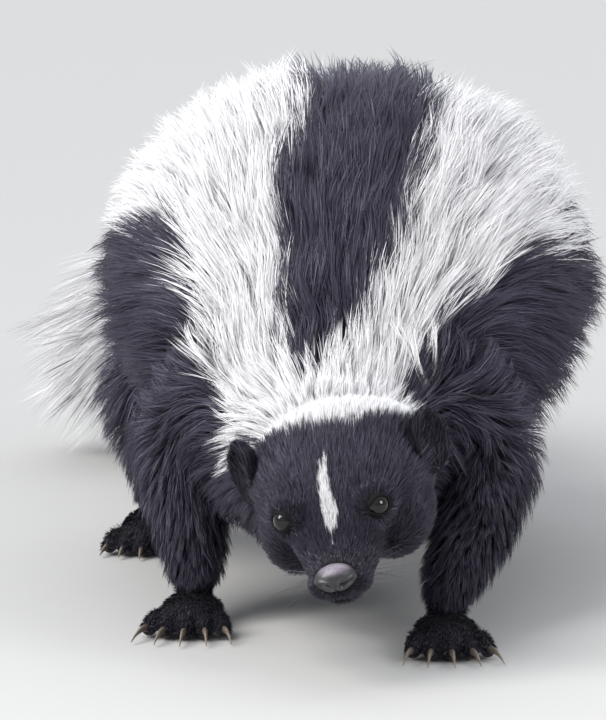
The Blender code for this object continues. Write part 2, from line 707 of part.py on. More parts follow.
def build_paw(leg, home):
    """A paw flat on the floor: heel, sole and five toes, with its claws as pieces of their own."""
    facts, stations = PAWS[leg], LEGS_MM[leg]
    pieces = bpy.data.collections.new("paw pieces")
    sweep_object("ankle", round_sweep(stations[2:], (0, 1, 0)), pieces, 5 * MM, 24)
    heel = np.array(stations[-1][:3]) * MM
    turn = Matrix.Rotation(math.radians(facts["turn"]), 3, "Z")
    ahead = np.array(turn @ Vector((0, -1, 0)))
    across = np.array(turn @ Vector((1, 0, 0)))
    sole = facts["sole"] * MM
    middle = heel + ahead * (sole / 2 - 4 * MM)
    middle[2] = PAW_HEIGHT / 2 - SOLE_FLAT
    half = (PAW_HALF_WIDTH, sole / 2 + 6 * MM, PAW_HEIGHT / 2)
    ellipsoid("sole", placed(middle, half, turn), pieces)
    ball = heel + ahead * (sole - 4 * MM)
    ball[2] = PAW_HEIGHT / 2 - SOLE_FLAT - 0.5 * MM
    ellipsoid("ball", placed(ball, (PAW_HALF_WIDTH, 10 * MM, PAW_HEIGHT / 2), turn), pieces)
    tips = []
    for k in range(TOES):
        place = k - (TOES - 1) / 2
        spread = math.radians(TOE_SPREAD * place)
        way = ahead * math.cos(spread) + across * math.sin(spread)
        reach = facts["toe"] * MM * (1 - 0.06 * place**2)
        root = ball + across * TOE_STEP * place + ahead * 2 * MM * (1 - 0.3 * abs(place))
        root[2] = TOE_RADIUS + 1.5 * MM
        tip = root + way * reach
        tip[2] = TOE_RADIUS - SOLE_FLAT * 0.8
        rows = [
            (*(p / MM), r * TOE_RADIUS / MM, 0)
            for p, r in ((root, 1), ((root + tip) / 2, 1.02), (tip, 0.95))
        ]
        sweep_object("toe", round_sweep(rows, (0, 0, 1)), pieces, 3 * MM, 14)
        ellipsoid("toe end", placed(tip, (TOE_RADIUS * 0.97,) * 3), pieces, 10)
        tips.append((tip, way))
    paw = remeshed(facts["name"], pieces, PAW_VOXEL, 2, PAW_FACES, home)
    cut_with(paw, "INTERSECT", box("above", (-1, -1, 0), (1, 1, WRIST), pieces))
    return paw, tips


def build_claws(paw, tips, length, home, spare):
    """A curved claw from each toe, tapering to a point just above the floor."""
    claws = []
    for k, (tip, way) in enumerate(tips):
        start = tip + way * 0.5 * MM
        rows = []
        for t in (0, 0.3, 0.65, 1):
            p = start + way * length * t
            p[2] = start[2] * (1 - t) + CLAW_TIP * t + CLAW_ARCH * length * 4 * t * (1 - t)
            rows.append((*(p / MM), CLAW_RADIUS / MM * (1 - 0.86 * t), 0))
        sweep = round_sweep(rows, (0, 0, 1))
        name = f"claw_{paw.name}_{k + 1}"
        claw = sweep_object(name, sweep, home, length / 3, 6, lambda s, a: 0.0)
        cut_with(claw, "DIFFERENCE", grown_copy(paw, GAP, spare))
        claws.append(claw)
    return claws


def build_body(home):
    """The whole body behind the head with its coat, still in one piece."""
    pieces = bpy.data.collections.new("body pieces")
    torso, tail = Sweep(TORSO_MM), round_sweep(TAIL_MM, (0, 0, 1))
    sweep_object("torso", torso, pieces, 8 * MM, 40)
    sweep_object("tail", tail, pieces, 8 * MM, 20, lambda s, a: 0.0)
    for middle, half in SHOULDERS_MM:
        ellipsoid("shoulder", placed(np.array(middle) * MM, np.array(half) * MM), pieces)
    end = tail.frame(tail.length)[0]
    ellipsoid("tail end", placed(end, (TAIL_MM[-1][3] * MM,) * 3), pieces)
    for rows in LEGS_MM.values():
        sweep_object("leg", round_sweep(rows, (0, 1, 0)), pieces, 8 * MM, 28)
    skull = sweep_object("skull", Sweep(HEAD_MM), pieces, 4 * MM, 32, lambda s, a: 0.0)
    skull.data.transform(head_matrix())
    core = remeshed("body", pieces, CORE_VOXEL, 5, CORE_FACES, home)
    draw = random.Random(SEED)
    coat_locks(torso, core, pieces, draw)
    tail_locks(tail, pieces, draw)
    combine(core, "UNION", pieces)
    thin(core, BODY_SHARE)
    return core, torso, tail


def part(whole, name, cutter, clearance, home):
    """Takes from the whole what lies in the cutter, as a node of its own, and clears a gap."""
    piece = copy_of(whole, name, home)
    cut_with(piece, "INTERSECT", cutter)
    cut_with(whole, "DIFFERENCE", clearance)
    return piece


def shoulder_reach(angle):
    """How far out the cut across the neck goes: to the skin above, past the shoulders below."""
    low = np.clip((abs(math.remainder(angle, 2 * math.pi)) - 1.2) / 0.5, 0, 1)
    return (-5 + 40 * low) * MM


def part_body(body, torso, tail, home, spare):
    """Parts the body into neck, torso, tail and legs with thin cuts."""
    nodes = []
    for name, rows in LEGS_MM.items():
        cutter = sleeve(rows, WRIST + GAP, LEG_TOP, spare)
        clearance = sleeve(rows, WRIST + GAP, LEG_TOP, spare, 1.4 * GAP)
        nodes.append(part(body, name, cutter, clearance, home))
    cuts = (
        ("tail_tip", tail, 0.70 * tail.length, 26, lambda a: 3 * MM),
        ("tail_middle", tail, 0.40 * tail.length, 26, lambda a: 3 * MM),
        ("tail_base", tail, 34 * MM, 30, lambda a: 4 * MM),
        ("torso_rear", torso, 0.56 * torso.length, 17, lambda a: -16 * MM),
        ("torso_front", torso, 0.12 * torso.length, 28, shoulder_reach),
    )
    for name, sweep, s, lean, skin in cuts:
        cutter = behind(sweep, s, skin, lean, spare)
        clearance = behind(sweep, s, skin, lean, spare, GAP)
        nodes.append(part(body, name, cutter, clearance, home))
    body.name = "neck"
    nodes.append(body)
    return nodes


def part_head(head, neck, home, spare):
    """Ends the head and the neck at one plane behind the ears, with a gap between them."""
    front = box("front", (-0.1, -0.1, -0.1), (0.1, HEAD_BACK, 0.1), spare)
    cut_with(head, "INTERSECT", front)
    keep = box("front", (-0.1, -0.1, -0.1), (0.1, HEAD_BACK + GAP, 0.1), spare)
    keep.data.transform(head_matrix())
    cut_with(neck, "DIFFERENCE", keep)


def shade(thing, finish):
    thing.data.materials.clear()
    thing.data.materials.append(finish)
    thing.data.shade_smooth()
    thing.data.set_sharp_from_angle(angle=math.radians(40))


def centre_on_floor(nodes):
    """Moves all nodes so that the origin is under the middle of their common box."""
    points = np.array([v.co for node in nodes for v in node.data.vertices])
    low, high = points.min(axis=0), points.max(axis=0)
    shift = Vector((-(low[0] + high[0]) / 2, -(low[1] + high[1]) / 2, -low[2]))
    for node in nodes:
        node.data.transform(Matrix.Translation(shift))
    print("shift", [round(v / MM, 2) for v in shift])


def main():
    for thing in list(bpy.data.objects):
        bpy.data.objects.remove(thing)
    home = bpy.data.collections.new("striped skunk")
    bpy.context.scene.collection.children.link(home)
    spare = bpy.data.collections.new("cutters")
    bpy.context.scene.collection.children.link(spare)
    black = material("black_fur", BLACK_FUR, 0.55)
    white = material("white_fur", WHITE_FUR, 0.6)
    horn = material("horn", HORN, 0.45)
    nose_skin = material("nose_skin", NOSE_SKIN, 0.35)
    eye_brown = material("eye_brown", EYE_BROWN, 0.05)

    head, nose, eyes, ears = build_head(home, spare)
    body, torso, tail = build_body(home)
    nodes = part_body(body, torso, tail, home, spare)
    part_head(head, body, home, spare)
    for thing in (head, nose, *eyes, *ears):
        thing.data.transform(head_matrix())
    paws, claws = [], []
    for leg, facts in PAWS.items():
        paw, tips = build_paw(leg, home)
        paws.append(paw)
        claws += build_claws(paw, tips, facts["claw"] * MM, home, spare)

    for thing in (head, *ears, *nodes, *paws):
        shade(thing, white if thing.name in ("neck", "tail_tip") else black)
    for thing in claws:
        shade(thing, horn)
    for thing in eyes:
        shade(thing, eye_brown)
    shade(nose, nose_skin)
    everything = [head, nose, *eyes, *ears, *nodes, *paws, *claws]
    centre_on_floor(everything)
    for thing in everything:
        print(thing.name, len(thing.data.polygons))
    print("triangles", sum(len(thing.data.polygons) for thing in everything))


main()
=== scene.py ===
"""Looks of the life-size striped skunk: one skin over its flesh, its coat as joined tufts of
tapered hairs that follow the lie of the fur, glossy eyes, a leathery nose and horny claws.

Metres, +Z up, facing -Y. The body's stations are those of the solids, in millimetres.
"""

import math

import bmesh
import bpy
import numpy as np
from mathutils import Euler, Matrix, Vector, noise
from mathutils.bvhtree import BVHTree
from mathutils.kdtree import KDTree

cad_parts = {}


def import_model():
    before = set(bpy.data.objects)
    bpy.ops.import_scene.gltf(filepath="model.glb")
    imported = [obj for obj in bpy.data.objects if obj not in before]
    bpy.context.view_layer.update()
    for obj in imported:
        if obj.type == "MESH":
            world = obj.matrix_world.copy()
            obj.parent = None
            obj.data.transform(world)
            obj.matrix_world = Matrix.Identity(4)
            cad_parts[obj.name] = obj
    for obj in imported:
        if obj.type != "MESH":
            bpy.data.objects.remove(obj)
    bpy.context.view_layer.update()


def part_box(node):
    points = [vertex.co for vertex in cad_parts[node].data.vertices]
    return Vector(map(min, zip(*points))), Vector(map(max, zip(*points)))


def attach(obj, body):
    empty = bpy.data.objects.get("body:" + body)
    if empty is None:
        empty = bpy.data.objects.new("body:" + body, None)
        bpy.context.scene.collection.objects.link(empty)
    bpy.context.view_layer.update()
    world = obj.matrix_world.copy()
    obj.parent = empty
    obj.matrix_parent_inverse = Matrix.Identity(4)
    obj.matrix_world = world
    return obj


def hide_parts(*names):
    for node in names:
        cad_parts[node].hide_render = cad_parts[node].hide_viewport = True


MM = 0.001
SHIFT = np.array([12.35, -60.16, 0]) * MM  # from the stations' own origin to under the box's middle
SEED = 7

# Stations of the neck and torso: x, y, z of the middle, half width, height above, depth below and
# coat, all measured out to the tips of the coat.
TORSO_MM = (
    (2, -125, 69, 34, 25, 34, 10),
    (-2, -105, 68.5, 40, 31, 41, 13),
    (-3, -85, 68, 47, 38, 46, 17),
    (-3, -55, 74, 60, 47, 51, 21),
    (-1, -20, 88, 76, 59, 61, 25),
    (2, 15, 102, 90, 71, 71, 28),
    (4, 50, 110, 98, 79, 75, 31),
    (5, 85, 113, 99, 80, 74, 33),
    (6, 115, 110, 90, 73, 66, 34),
    (8, 140, 105, 66, 58, 50, 32),
    (10, 156, 101, 36, 36, 33, 26),
)
BELLY_COAT = 0.4  # of the coat on the back

# Stations of the tail's own flesh: x, y, z, radius, and the length of its hair.
TAIL_MM = (
    (11, 140, 105, 20, 44),
    (12, 165, 103, 15, 50),
    (13, 195, 102, 13, 60),
    (8, 235, 97, 11.5, 68),
    (-12, 266, 87, 10.5, 72),
    (-42, 281, 72, 9, 72),
    (-70, 276, 55, 6, 66),
)

# Stations of each leg from the shoulder or hip to the paw: x, y, z, radius with the coat, coat.
LEGS_MM = {
    "foreleg_left": (
        (40, -54, 88, 25, 14), (55, -52, 62, 24, 10), (52, -76, 40, 19, 8),
        (42, -103, 21, 13.5, 5.5), (39, -113, 11, 10, 4),
    ),
    "foreleg_right": (
        (-42, -46, 88, 25, 14), (-56, -38, 62, 24, 10), (-55, -50, 40, 19, 8),
        (-53, -65, 21, 13.5, 5.5), (-53, -75, 11, 10, 4),
    ),
    "hindleg_left": (
        (38, 90, 98, 42, 24), (48, 80, 66, 29, 14), (47, 108, 40, 18, 8),
        (45, 128, 21, 12.5, 5), (45, 130, 11, 10.5, 4),
    ),
    "hindleg_right": (
        (-44, 76, 98, 42, 24), (-65, 52, 66, 29, 14), (-69, 76, 40, 18, 8),
        (-69, 94, 21, 12.5, 5), (-69, 96, 11, 10.5, 4),
    ),
}
SHOULDERS_MM = (((34, -52, 78), (22, 36, 34)), ((-38, -46, 78), (22, 36, 34)))
SHOULDER_COAT = 14 * MM

# Paws: heading in degrees from straight ahead, sole length behind the toes, toe and claw length.
PAWS = {
    "foreleg_left": {"name": "forepaw_left", "turn": 4, "sole": 19, "toe": 13, "claw": 15},
    "foreleg_right": {"name": "forepaw_right", "turn": -6, "sole": 19, "toe": 13, "claw": 15},
    "hindleg_left": {"name": "hindpaw_left", "turn": 6, "sole": 36, "toe": 11, "claw": 8},
    "hindleg_right": {"name": "hindpaw_right", "turn": -7, "sole": 36, "toe": 11, "claw": 8},
}
PAW_HALF_WIDTH = 12.5 * MM
PAW_HEIGHT = 15 * MM
PAW_COAT = 1.1 * MM
TOES = 5
TOE_RADIUS = 4.4 * MM
TOE_SPREAD = 9
TOE_STEP = 5.3 * MM
SOLE_FLAT = 1.2 * MM
SOLE_LIFT = 0.4 * MM  # of the skin's soles from the floor
CLAW_RADIUS = 1.7 * MM
CLAW_TIP = 1.2 * MM
CLAW_ARCH = 0.11

# The head's own frame: the origin midway between the eyes, -Y along the muzzle, +Z up.
EYES_MIDDLE = np.array([-1.5, -165, 62]) * MM
HEAD_PITCH, HEAD_ROLL, HEAD_YAW = 16, -12, -5
HEAD_MM = (
    (0, -31.5, -15.8, 6, 5, 5.5, 0.7),
    (0, -29, -16.2, 9, 7.5, 9, 1),
    (0, -24, -16.2, 11.5, 9.8, 12.5, 1.4),
    (0, -16, -14.3, 14.5, 12.5, 16, 1.8),
    (0, -8, -10.2, 18.5, 15, 19.5, 2.2),
    (0, 0, -6.5, 24, 17.5, 23.5, 2.9),
    (0, 10, -4, 31, 21.5, 29.5, 4),
    (0, 20, -2.5, 35, 25, 33, 5),
    (0, 30, -2, 36.5, 27, 34.5, 6),
    (0, 40, -2, 37, 27, 35, 7.5),
    (0, 52, -2.5, 34, 23, 33, 9),
)
HEAD_MASSES_MM = (  # the middle, half sizes and coat of a brow, a lip pad and a cheek on the left
    ((12, -3.5, 3), (8.5, 7.5, 4), 1.8),
    ((6.5, -24, -18.3), (6.2, 8, 6), 1),
    ((17, 16, -14.5), (17, 25, 17.5), 4),
)
CHIN_MM = ((0, -20, -23.8), (8, 8.5, 5.5), 1.2)
EYE_LOOK = np.array([0.60, -0.74, 0.22])
EYE_RADIUS = 4.6 * MM
EYE_BED = np.array([8.5, 7.5, 2.4]) * MM  # the bare rise round an eye, flattened where it looks
NOSE_MIDDLE = np.array([0, -31, -13.2]) * MM
NOSE_HALF = np.array([7.6, 5.4, 5.0]) * MM
MUZZLE_CORE = np.array([0, -12, -15]) * MM
MOUTH_MM = ((-17, -8, -22), (-14, -14.5, -23), (-11, -22, -24), (-6, -29, -23.8), (0, -31, -21.8),
            (6, -29, -23.8), (11, -22, -24), (14, -14.5, -23), (17, -8, -22))
EAR_MIDDLE = np.array([35, 27, 5.5]) * MM
EAR_HALF = np.array([9.5, 6.5, 12.5]) * MM
EAR_WALL = 1.8 * MM
EAR_COAT = 0.7 * MM
EAR_HOLLOW = 2.2 * MM
EAR_RIM = 1.0 * MM
EAR_BEND = 1.2  # how far back its top curls, in mm
EAR_TURN, EAR_LEAN = 56, 4
LID_OPENING = (3.9, 3.2)  # half width and half height between the lids, in mm
LID_CORNER = 0.9 * MM  # how far the inner corner runs out towards the nose
LID_ROWS_MM = (  # out from the opening's edge, and above the eye's own surface
    (-0.3, -0.5), (0, 0.06), (0.15, 0.25), (0.45, 0.35), (0.9, 0.25), (1.4, 0.0), (2.0, -0.4),
    (2.8, -1.2), (3.4, -2.6),
)

# The white markings on the back, by millimetres along the torso: where the black stripe in the
# middle ends on each side, and where the white one ends, in degrees from the top.
STRIPE_S = (40, 45, 57, 67, 82, 102, 124, 150, 185, 240, 270, 300)
STRIPE_RIGHT = (-16, -16, -18, -18, -18, -18, -16, -16, -12, -14, -20, -30)
STRIPE_LEFT = (-16, -16, -7, 3, 12, 16, 22, 23, 24, 22, 26, 32)
WHITE_RIGHT_S = (0, 35, 46, 58, 100, 115, 131, 158, 168, 181, 200, 240, 270, 300)
WHITE_RIGHT = (100, 98, 72, 62, 61, 58, 56, 52, 70, 76, 82, 80, 70, 60)
WHITE_LEFT_S = (0, 30, 37, 42, 70, 96, 120, 138, 152, 160, 179, 200, 240, 270, 300)
WHITE_LEFT = (80, 72, 50, 38, 42, 46, 54, 60, 62, 74, 80, 82, 80, 70, 60)
CROWN_BACK, CROWN_CURVE = 27, 0.02  # where the black crown ends, in the head's frame, in mm
BLAZE_Y = (-20, -18, -15.3, -10.3, -5.3, 3, 8.6, 10)
BLAZE_X = (0.1, 0.1, 0.3, 0, -1.2, -1.7, -0.9, -0.8)
BLAZE_HALF = (-3, 0.4, 2.4, 2.8, 2.2, 1.5, 0.6, -3)

# What a place on the skin is, where it isn't plain fur, and the parts that the coat goes by.
EAR, LID, SOLE, LIP, HOLLOW = 1, 2, 3, 4, 5
TAIL_PART, HEAD_PART, EAR_PART = 1, 6, 7
ISLANDS = (  # of the flat layout: left, bottom, width, height, then the arc lengths they span in mm
    (0.01, 0.01, 0.47, 0.98, -20, 320),
    (0.50, 0.01, 0.20, 0.55, -10, 230),
    (0.50, 0.60, 0.10, 0.38, -5, 140),
    (0.62, 0.60, 0.10, 0.38, -5, 140),
    (0.74, 0.60, 0.10, 0.38, -5, 140),
    (0.86, 0.60, 0.10, 0.38, -5, 140),
    (0.72, 0.01, 0.20, 0.45, -10, 95),
    (0.94, 0.01, 0.05, 0.20, -16, 16),
)
PATCH = 0.003  # of the flat layout, for each hair

# The coat. Short hairs lie flatter than long ones, so are longer for the depth that they make.
SHORT_COAT, LONG_COAT = 4 * MM, 14 * MM
SHORT_LENGTH, LONG_LENGTH = 2.2, 1.85  # of the coat's depth
SHORT_LIFT, LONG_LIFT, TAIL_LIFT = (30, 9), (54, 10), (42, 22)  # degrees at root and tip
FLANK_DROOP, FRONT_DROOP = 0.45, 1.0
PAW_FUR, PAW_FUR_DEPTH = 3.8 * MM, 1.4 * MM
EAR_FUR = 4.5 * MM
DENSITY, TAIL_DENSITY, EAR_DENSITY, PAW_DENSITY = 1.0, 2.1, 6.0, 3.5
HOLLOW_SHARE = 0.45  # of the ears' hair inside them
LEG_STARTS, LEG_SETTLES = 8 * MM, 60 * MM  # where along a leg the coat turns down it
HEAD_MORE, LEG_LESS = 1.6, 0.75
GUIDE_POINTS = 6
SAME_SLOPE = 0.8  # the cosine beyond which a hair is over another slope and keeps its way
SWAY = 0.11  # of each tuft by itself, in radians
DRIFT, DRIFT_SCALE = 0.55, 48  # of tufts together, and how many waves of it to the metre
MUZZLE_FUR = 2.3 * MM  # no hair is shorter
LOOSE_SHARE = 0.04
ROOT_DEPTH = 0.4 * MM
# Hairs are painted darker towards the root, down to this share of their colour: partly their greyer underfur,
# partly painted shade deep in the coat between the tufts.
ROOT_PAINTED_SHADE = 0.3
WHISKERS = 12
PIECE_TRIANGLES = 190000

BLACK_HAIR = np.array([0.034, 0.030, 0.045])
# Painted shade: the head's black hair is painted to this share of the body's, for the dimmer light on the face.
HEAD_PAINTED_SHADE = 0.55
WHITE_HAIR = np.array([0.82, 0.81, 0.82])
BLACK_UNDER = np.array([0.006, 0.006, 0.007])
WHITE_UNDER = np.array([0.34, 0.33, 0.31])
FACE_SKIN = np.array([0.007, 0.006, 0.008])
PAD_SKIN = np.array([0.055, 0.045, 0.045])
NOSE_SKIN = np.array([0.020, 0.017, 0.021])
PUPIL, IRIS = np.array([0.001, 0.001, 0.001]), np.array([0.008, 0.004, 0.003])
HORN_ROOT, HORN_TIP = np.array([0.07, 0.055, 0.045]), np.array([0.22, 0.18, 0.14])
WHISKER = np.array([0.05, 0.05, 0.055])

FLOOR = (0.50, 0.495, 0.485, 1)
SKY, SKY_STRENGTH = (0.88, 0.93, 1.0, 1), 0.58
SUNS = (  # name, where it stands, energy, how soft in degrees, colour
    ("key", (-0.75, -0.35, 1.0), 2.4, 40, (1.0, 0.98, 0.96)),
    ("back", (0.0, 0.8, 1.0), 1.2, 60, (0.92, 0.95, 1.0)),
)
BOXES_AT = np.array([[0.66, -0.48, 0.38], [-0.80, -0.30, 0.42]])  # from the eyes, one for each
BOX_SIZE, BOX_POWER = 0.32, 3.4
CAMERA_ELEVATION = 10
CAMERA_DISTANCE = 3.2
FRAME_WIDTH = 0.2182  # what the picture spans at the target
CAMERA_TARGET = np.array([-12.7, -145.5, 111.7]) * MM

FLESH_NODES = (
    "head", "ear_left", "ear_right", "neck", "torso_front", "torso_rear", "tail_base",
    "tail_middle", "tail_tip", "foreleg_left", "foreleg_right", "hindleg_left", "hindleg_right",
    "forepaw_left", "forepaw_right", "hindpaw_left", "hindpaw_right",
)


def unit(v):
    v = np.asarray(v, float)
    return v / np.maximum(np.linalg.norm(v, axis=-1, keepdims=True), 1e-12)


def smooth_step(low, high, x):
    t = np.clip((x - low) / (high - low), 0, 1)
    return t * t * (3 - 2 * t)


class Sweep:
    """A body swept along a curve through its stations, whose shape is asked for at arrays of arc
    lengths. up is roughly where its upper side faces."""

    def __init__(self, rows_mm, up=(0, 0, 1), shift=SHIFT):
        self.rows = np.array(rows_mm, float) * MM
        self.rows[:, :3] += shift
        steps = np.linalg.norm(np.diff(self.rows[:, :3], axis=0), axis=1)
        self.knots = np.concatenate([[0], np.cumsum(steps)])
        self.length = self.knots[-1]
        self.slopes = np.gradient(self.rows, self.knots, axis=0)
        self.up = np.array(up, float)

    def row(self, s):
        i = np.clip(np.searchsorted(self.knots, s) - 1, 0, len(self.knots) - 2)
        span = (self.knots[i + 1] - self.knots[i])[:, None]
        t = np.clip((s - self.knots[i])[:, None] / span, 0, 1)
        return (
            (1 + 2 * t) * (1 - t) ** 2 * self.rows[i]
            + t * (1 - t) ** 2 * self.slopes[i] * span
            + t * t * (3 - 2 * t) * self.rows[i + 1]
            + t * t * (t - 1) * self.slopes[i + 1] * span
        )

    def frame(self, s):
        """Middle, direction, side and upward direction at each s."""
        step = 0.5 * MM
        ahead = self.row(np.minimum(s + step, self.length))
        behind = self.row(np.maximum(s - step, 0))
        along = unit(ahead[:, :3] - behind[:, :3])
        side = unit(np.cross(along, self.up))
        return self.row(s)[:, :3], along, side, np.cross(side, along)

    def rings(self, spacing, count, coat_share, least=MM):
        """Rings of points on the flesh: coat_share(angles) of the coat's depth below its tips."""
        steps = max(3, round(self.length / spacing))
        s = np.linspace(0, self.length, steps + 1)
        middle, _, side, up = self.frame(s)
        row = self.row(s)
        angles = np.linspace(0, 2 * math.pi, count, endpoint=False)
        depth = row[:, 6:7] * coat_share(angles)
        height = np.where(np.cos(angles) > 0, row[:, 4:5], row[:, 5:6])
        wide = np.maximum(row[:, 3:4] - depth, least) * np.sin(angles)
        high = np.maximum(height - depth, least) * np.cos(angles)
        return (
            middle[:, None] + wide[..., None] * side[:, None] + high[..., None] * up[:, None]
        )

    def locate(self, points, coat_share):
        """Arc length, angle from the top towards +X, distance outside the flesh, and direction
        along the sweep, for each of many points near it."""
        s = np.linspace(0, self.length, 200)
        middle, along, side, up = self.frame(s)
        nearest = np.empty(len(points), int)
        block = 20000
        for start in range(0, len(points), block):
            some = points[start:start + block]
            far = (middle**2).sum(1) - 2 * some @ middle.T
            nearest[start:start + block] = far.argmin(1)
        off = points - middle[nearest]
        row = self.row(s)[nearest]
        x = (off * side[nearest]).sum(1)
        z = (off * up[nearest]).sum(1)
        beyond = (off * along[nearest]).sum(1)
        height = np.where(z > 0, row[:, 4], row[:, 5])
        angle = np.arctan2(x / row[:, 3], z / height)
        depth = row[:, 6] * coat_share(angle)
        wide, high = np.maximum(row[:, 3] - depth, MM), np.maximum(height - depth, MM)
        level = np.hypot(x / wide, z / high)
        outside = (level - 1) * np.minimum(wide, high)
        outside = np.hypot(np.maximum(outside, 0), np.maximum(np.abs(beyond) - MM, 0))
        return s[nearest] + beyond, angle, outside, along[nearest]


def full_coat(angles):
    return np.ones_like(angles)


def torso_coat(angles):
    """The coat's depth by angle, as a share of that on the back."""
    return 1 - (1 - BELLY_COAT) * np.maximum(0, -np.cos(angles))


def bare(angles):
    return np.zeros_like(angles)


def round_sweep(rows_mm, up):
    """A sweep of round sections from rows of x, y, z, radius and coat."""
    return Sweep([(x, y, z, r, r, r, coat) for x, y, z, r, coat in rows_mm], up)


def head_matrix():
    turn = Euler([math.radians(a) for a in (HEAD_PITCH, HEAD_ROLL, 0)], "YXZ").to_matrix()
    turn = Matrix.Rotation(math.radians(HEAD_YAW), 3, "Z") @ turn
    return Matrix.Translation(Vector(EYES_MIDDLE + SHIFT)) @ turn.to_4x4()


def moved(matrix, points):
    m = np.array(matrix)
    return np.asarray(points) @ m[:3, :3].T + m[:3, 3]


def mirrored(v, side):
    return np.array([v[0] * side, v[1], v[2]])


TORSO = Sweep(TORSO_MM)
TAIL = round_sweep(TAIL_MM, (0, 0, 1))
LEGS = {name: round_sweep(rows, (0, 1, 0)) for name, rows in LEGS_MM.items()}
HEAD = Sweep(HEAD_MM, shift=0)
HEAD_PLACE = head_matrix()
TO_HEAD = HEAD_PLACE.inverted()


class Shapes:
    """Points and faces of many closed shapes, gathered for one mesh."""

    def __init__(self):
        self.points, self.faces, self.count = [], [], 0

    def add(self, points, faces):
        self.points.append(np.asarray(points).reshape(-1, 3))
        self.faces += [tuple(self.count + i for i in face) for face in faces]
        self.count += len(self.points[-1])

    def tube(self, rings):
        """A closed skin through rings of equally many points."""
        rows, count = rings.shape[:2]
        faces = []
        for i in range(rows - 1):
            for j in range(count):
                a, b = i * count + j, i * count + (j + 1) % count
                faces.append((a, b, b + count, a + count))
        faces.append(tuple(reversed(range(count))))
        faces.append(tuple(range((rows - 1) * count, rows * count)))
        self.add(rings, faces)

    def ring(self, rings):
        """A closed band: the last ring joins the first."""
        rows, count = rings.shape[:2]
        faces = []
        for i in range(rows):
            for j in range(count):
                a, b = i * count + j, i * count + (j + 1) % count
                c, d = (i + 1) % rows * count + (j + 1) % count, (i + 1) % rows * count + j
                faces.append((a, b, c, d))
        self.add(rings, faces)

    def ball(self, matrix, steps=16):
        """A unit sphere carried by a matrix."""
        shaped = bmesh.new()
        bmesh.ops.create_uvsphere(shaped, u_segments=2 * steps, v_segments=steps, radius=1)
        points = np.array([v.co for v in shaped.verts])
        self.add(moved(matrix, points), [[v.index for v in f.verts] for f in shaped.faces])
        shaped.free()

    def object(self, name):
        mesh = bpy.data.meshes.new(name)
        points = [tuple(p) for p in np.concatenate(self.points)]
        mesh.from_pydata(points, [], self.faces)
        shaped = bmesh.new()
        shaped.from_mesh(mesh)
        bmesh.ops.recalc_face_normals(shaped, faces=shaped.faces)
        shaped.to_mesh(mesh)
        shaped.free()
        mesh.shade_smooth()
        made = bpy.data.objects.new(name, mesh)
        bpy.context.scene.collection.objects.link(made)
        return made


def placed(middle, half, turn=None):
    rotation = turn.to_4x4() if turn is not None else Matrix.Identity(4)
    return Matrix.Translation(Vector(middle)) @ rotation @ Matrix.Diagonal((*half, 1))


def eye_turn(side):
    """The rotation, in the head's frame, of +Z to where an eye looks."""
    return Vector(unit(mirrored(EYE_LOOK, side))).to_track_quat("Z", "Y").to_matrix()


def eye_middle(side):
    """The middle of an eye in the head's frame, from the solid eye."""
    low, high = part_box("eye_left" if side > 0 else "eye_right")
    return np.array(TO_HEAD @ ((low + high) / 2))


def add_head(flesh):
    flesh.tube(moved(HEAD_PLACE, HEAD.rings(2 * MM, 72, full_coat)))
    masses = []
    for middle, half, coat in HEAD_MASSES_MM:
        masses += [(mirrored(middle, side), half, coat) for side in (-1, 1)]
    masses.append(CHIN_MM)
    for middle, half, coat in masses:
        size = (np.array(half) - coat) * MM
        flesh.ball(HEAD_PLACE @ placed(np.array(middle) * MM, size), 24)
    for side in (-1, 1):
        flesh.ball(HEAD_PLACE @ placed(eye_middle(side), EYE_BED, eye_turn(side)), 24)


def toe_rows(leg):
    """For each toe of a paw: its root, its tip and its heading, on the solids' own lines."""
    facts, heel = PAWS[leg], np.array(LEGS_MM[leg][-1][:3]) * MM + SHIFT
    turn = np.array(Matrix.Rotation(math.radians(facts["turn"]), 3, "Z"))
    ahead, across = turn @ (0, -1, 0), turn @ (1, 0, 0)
    ball = heel + ahead * (facts["sole"] - 4) * MM
    rows = []
    for k in range(TOES):
        place = k - (TOES - 1) / 2
        spread = math.radians(TOE_SPREAD * place)
        way = ahead * math.cos(spread) + across * math.sin(spread)
        root = ball + across * TOE_STEP * place + ahead * 2 * MM * (1 - 0.3 * abs(place))
        root[2] = TOE_RADIUS + 1.5 * MM
        tip = root + way * facts["toe"] * MM * (1 - 0.06 * place**2)
        tip[2] = TOE_RADIUS - SOLE_FLAT * 0.8
        rows.append((root, tip, way))
    return rows


def add_paw(flesh, leg):
    facts, heel = PAWS[leg], np.array(LEGS_MM[leg][-1][:3]) * MM + SHIFT
    turn = Matrix.Rotation(math.radians(facts["turn"]), 3, "Z")
    ahead, sole = np.array(turn @ Vector((0, -1, 0))), facts["sole"] * MM
    for reach, half_length in ((sole / 2 - 4 * MM, sole / 2 + 6 * MM), (sole - 4 * MM, 10 * MM)):
        middle = heel + ahead * reach
        middle[2] = PAW_HEIGHT / 2 - SOLE_FLAT
        half = np.array([PAW_HALF_WIDTH, half_length, PAW_HEIGHT / 2]) - PAW_COAT
        flesh.ball(placed(middle, half, turn), 24)
    for root, tip, way in toe_rows(leg):
        knuckle = (root + tip) / 2 + np.array([0, 0, 0.8 * MM])
        rows = []
        for p, share in ((root, 1), (knuckle, 1.0), (tip, 0.9)):
            rows.append((*((p - SHIFT) / MM), (share * TOE_RADIUS - PAW_COAT) / MM, 0))
        flesh.tube(round_sweep(rows, (0, 0, 1)).rings(1.5 * MM, 24, bare))
        flesh.ball(placed(tip, (TOE_RADIUS * 0.93 - PAW_COAT,) * 3), 12)


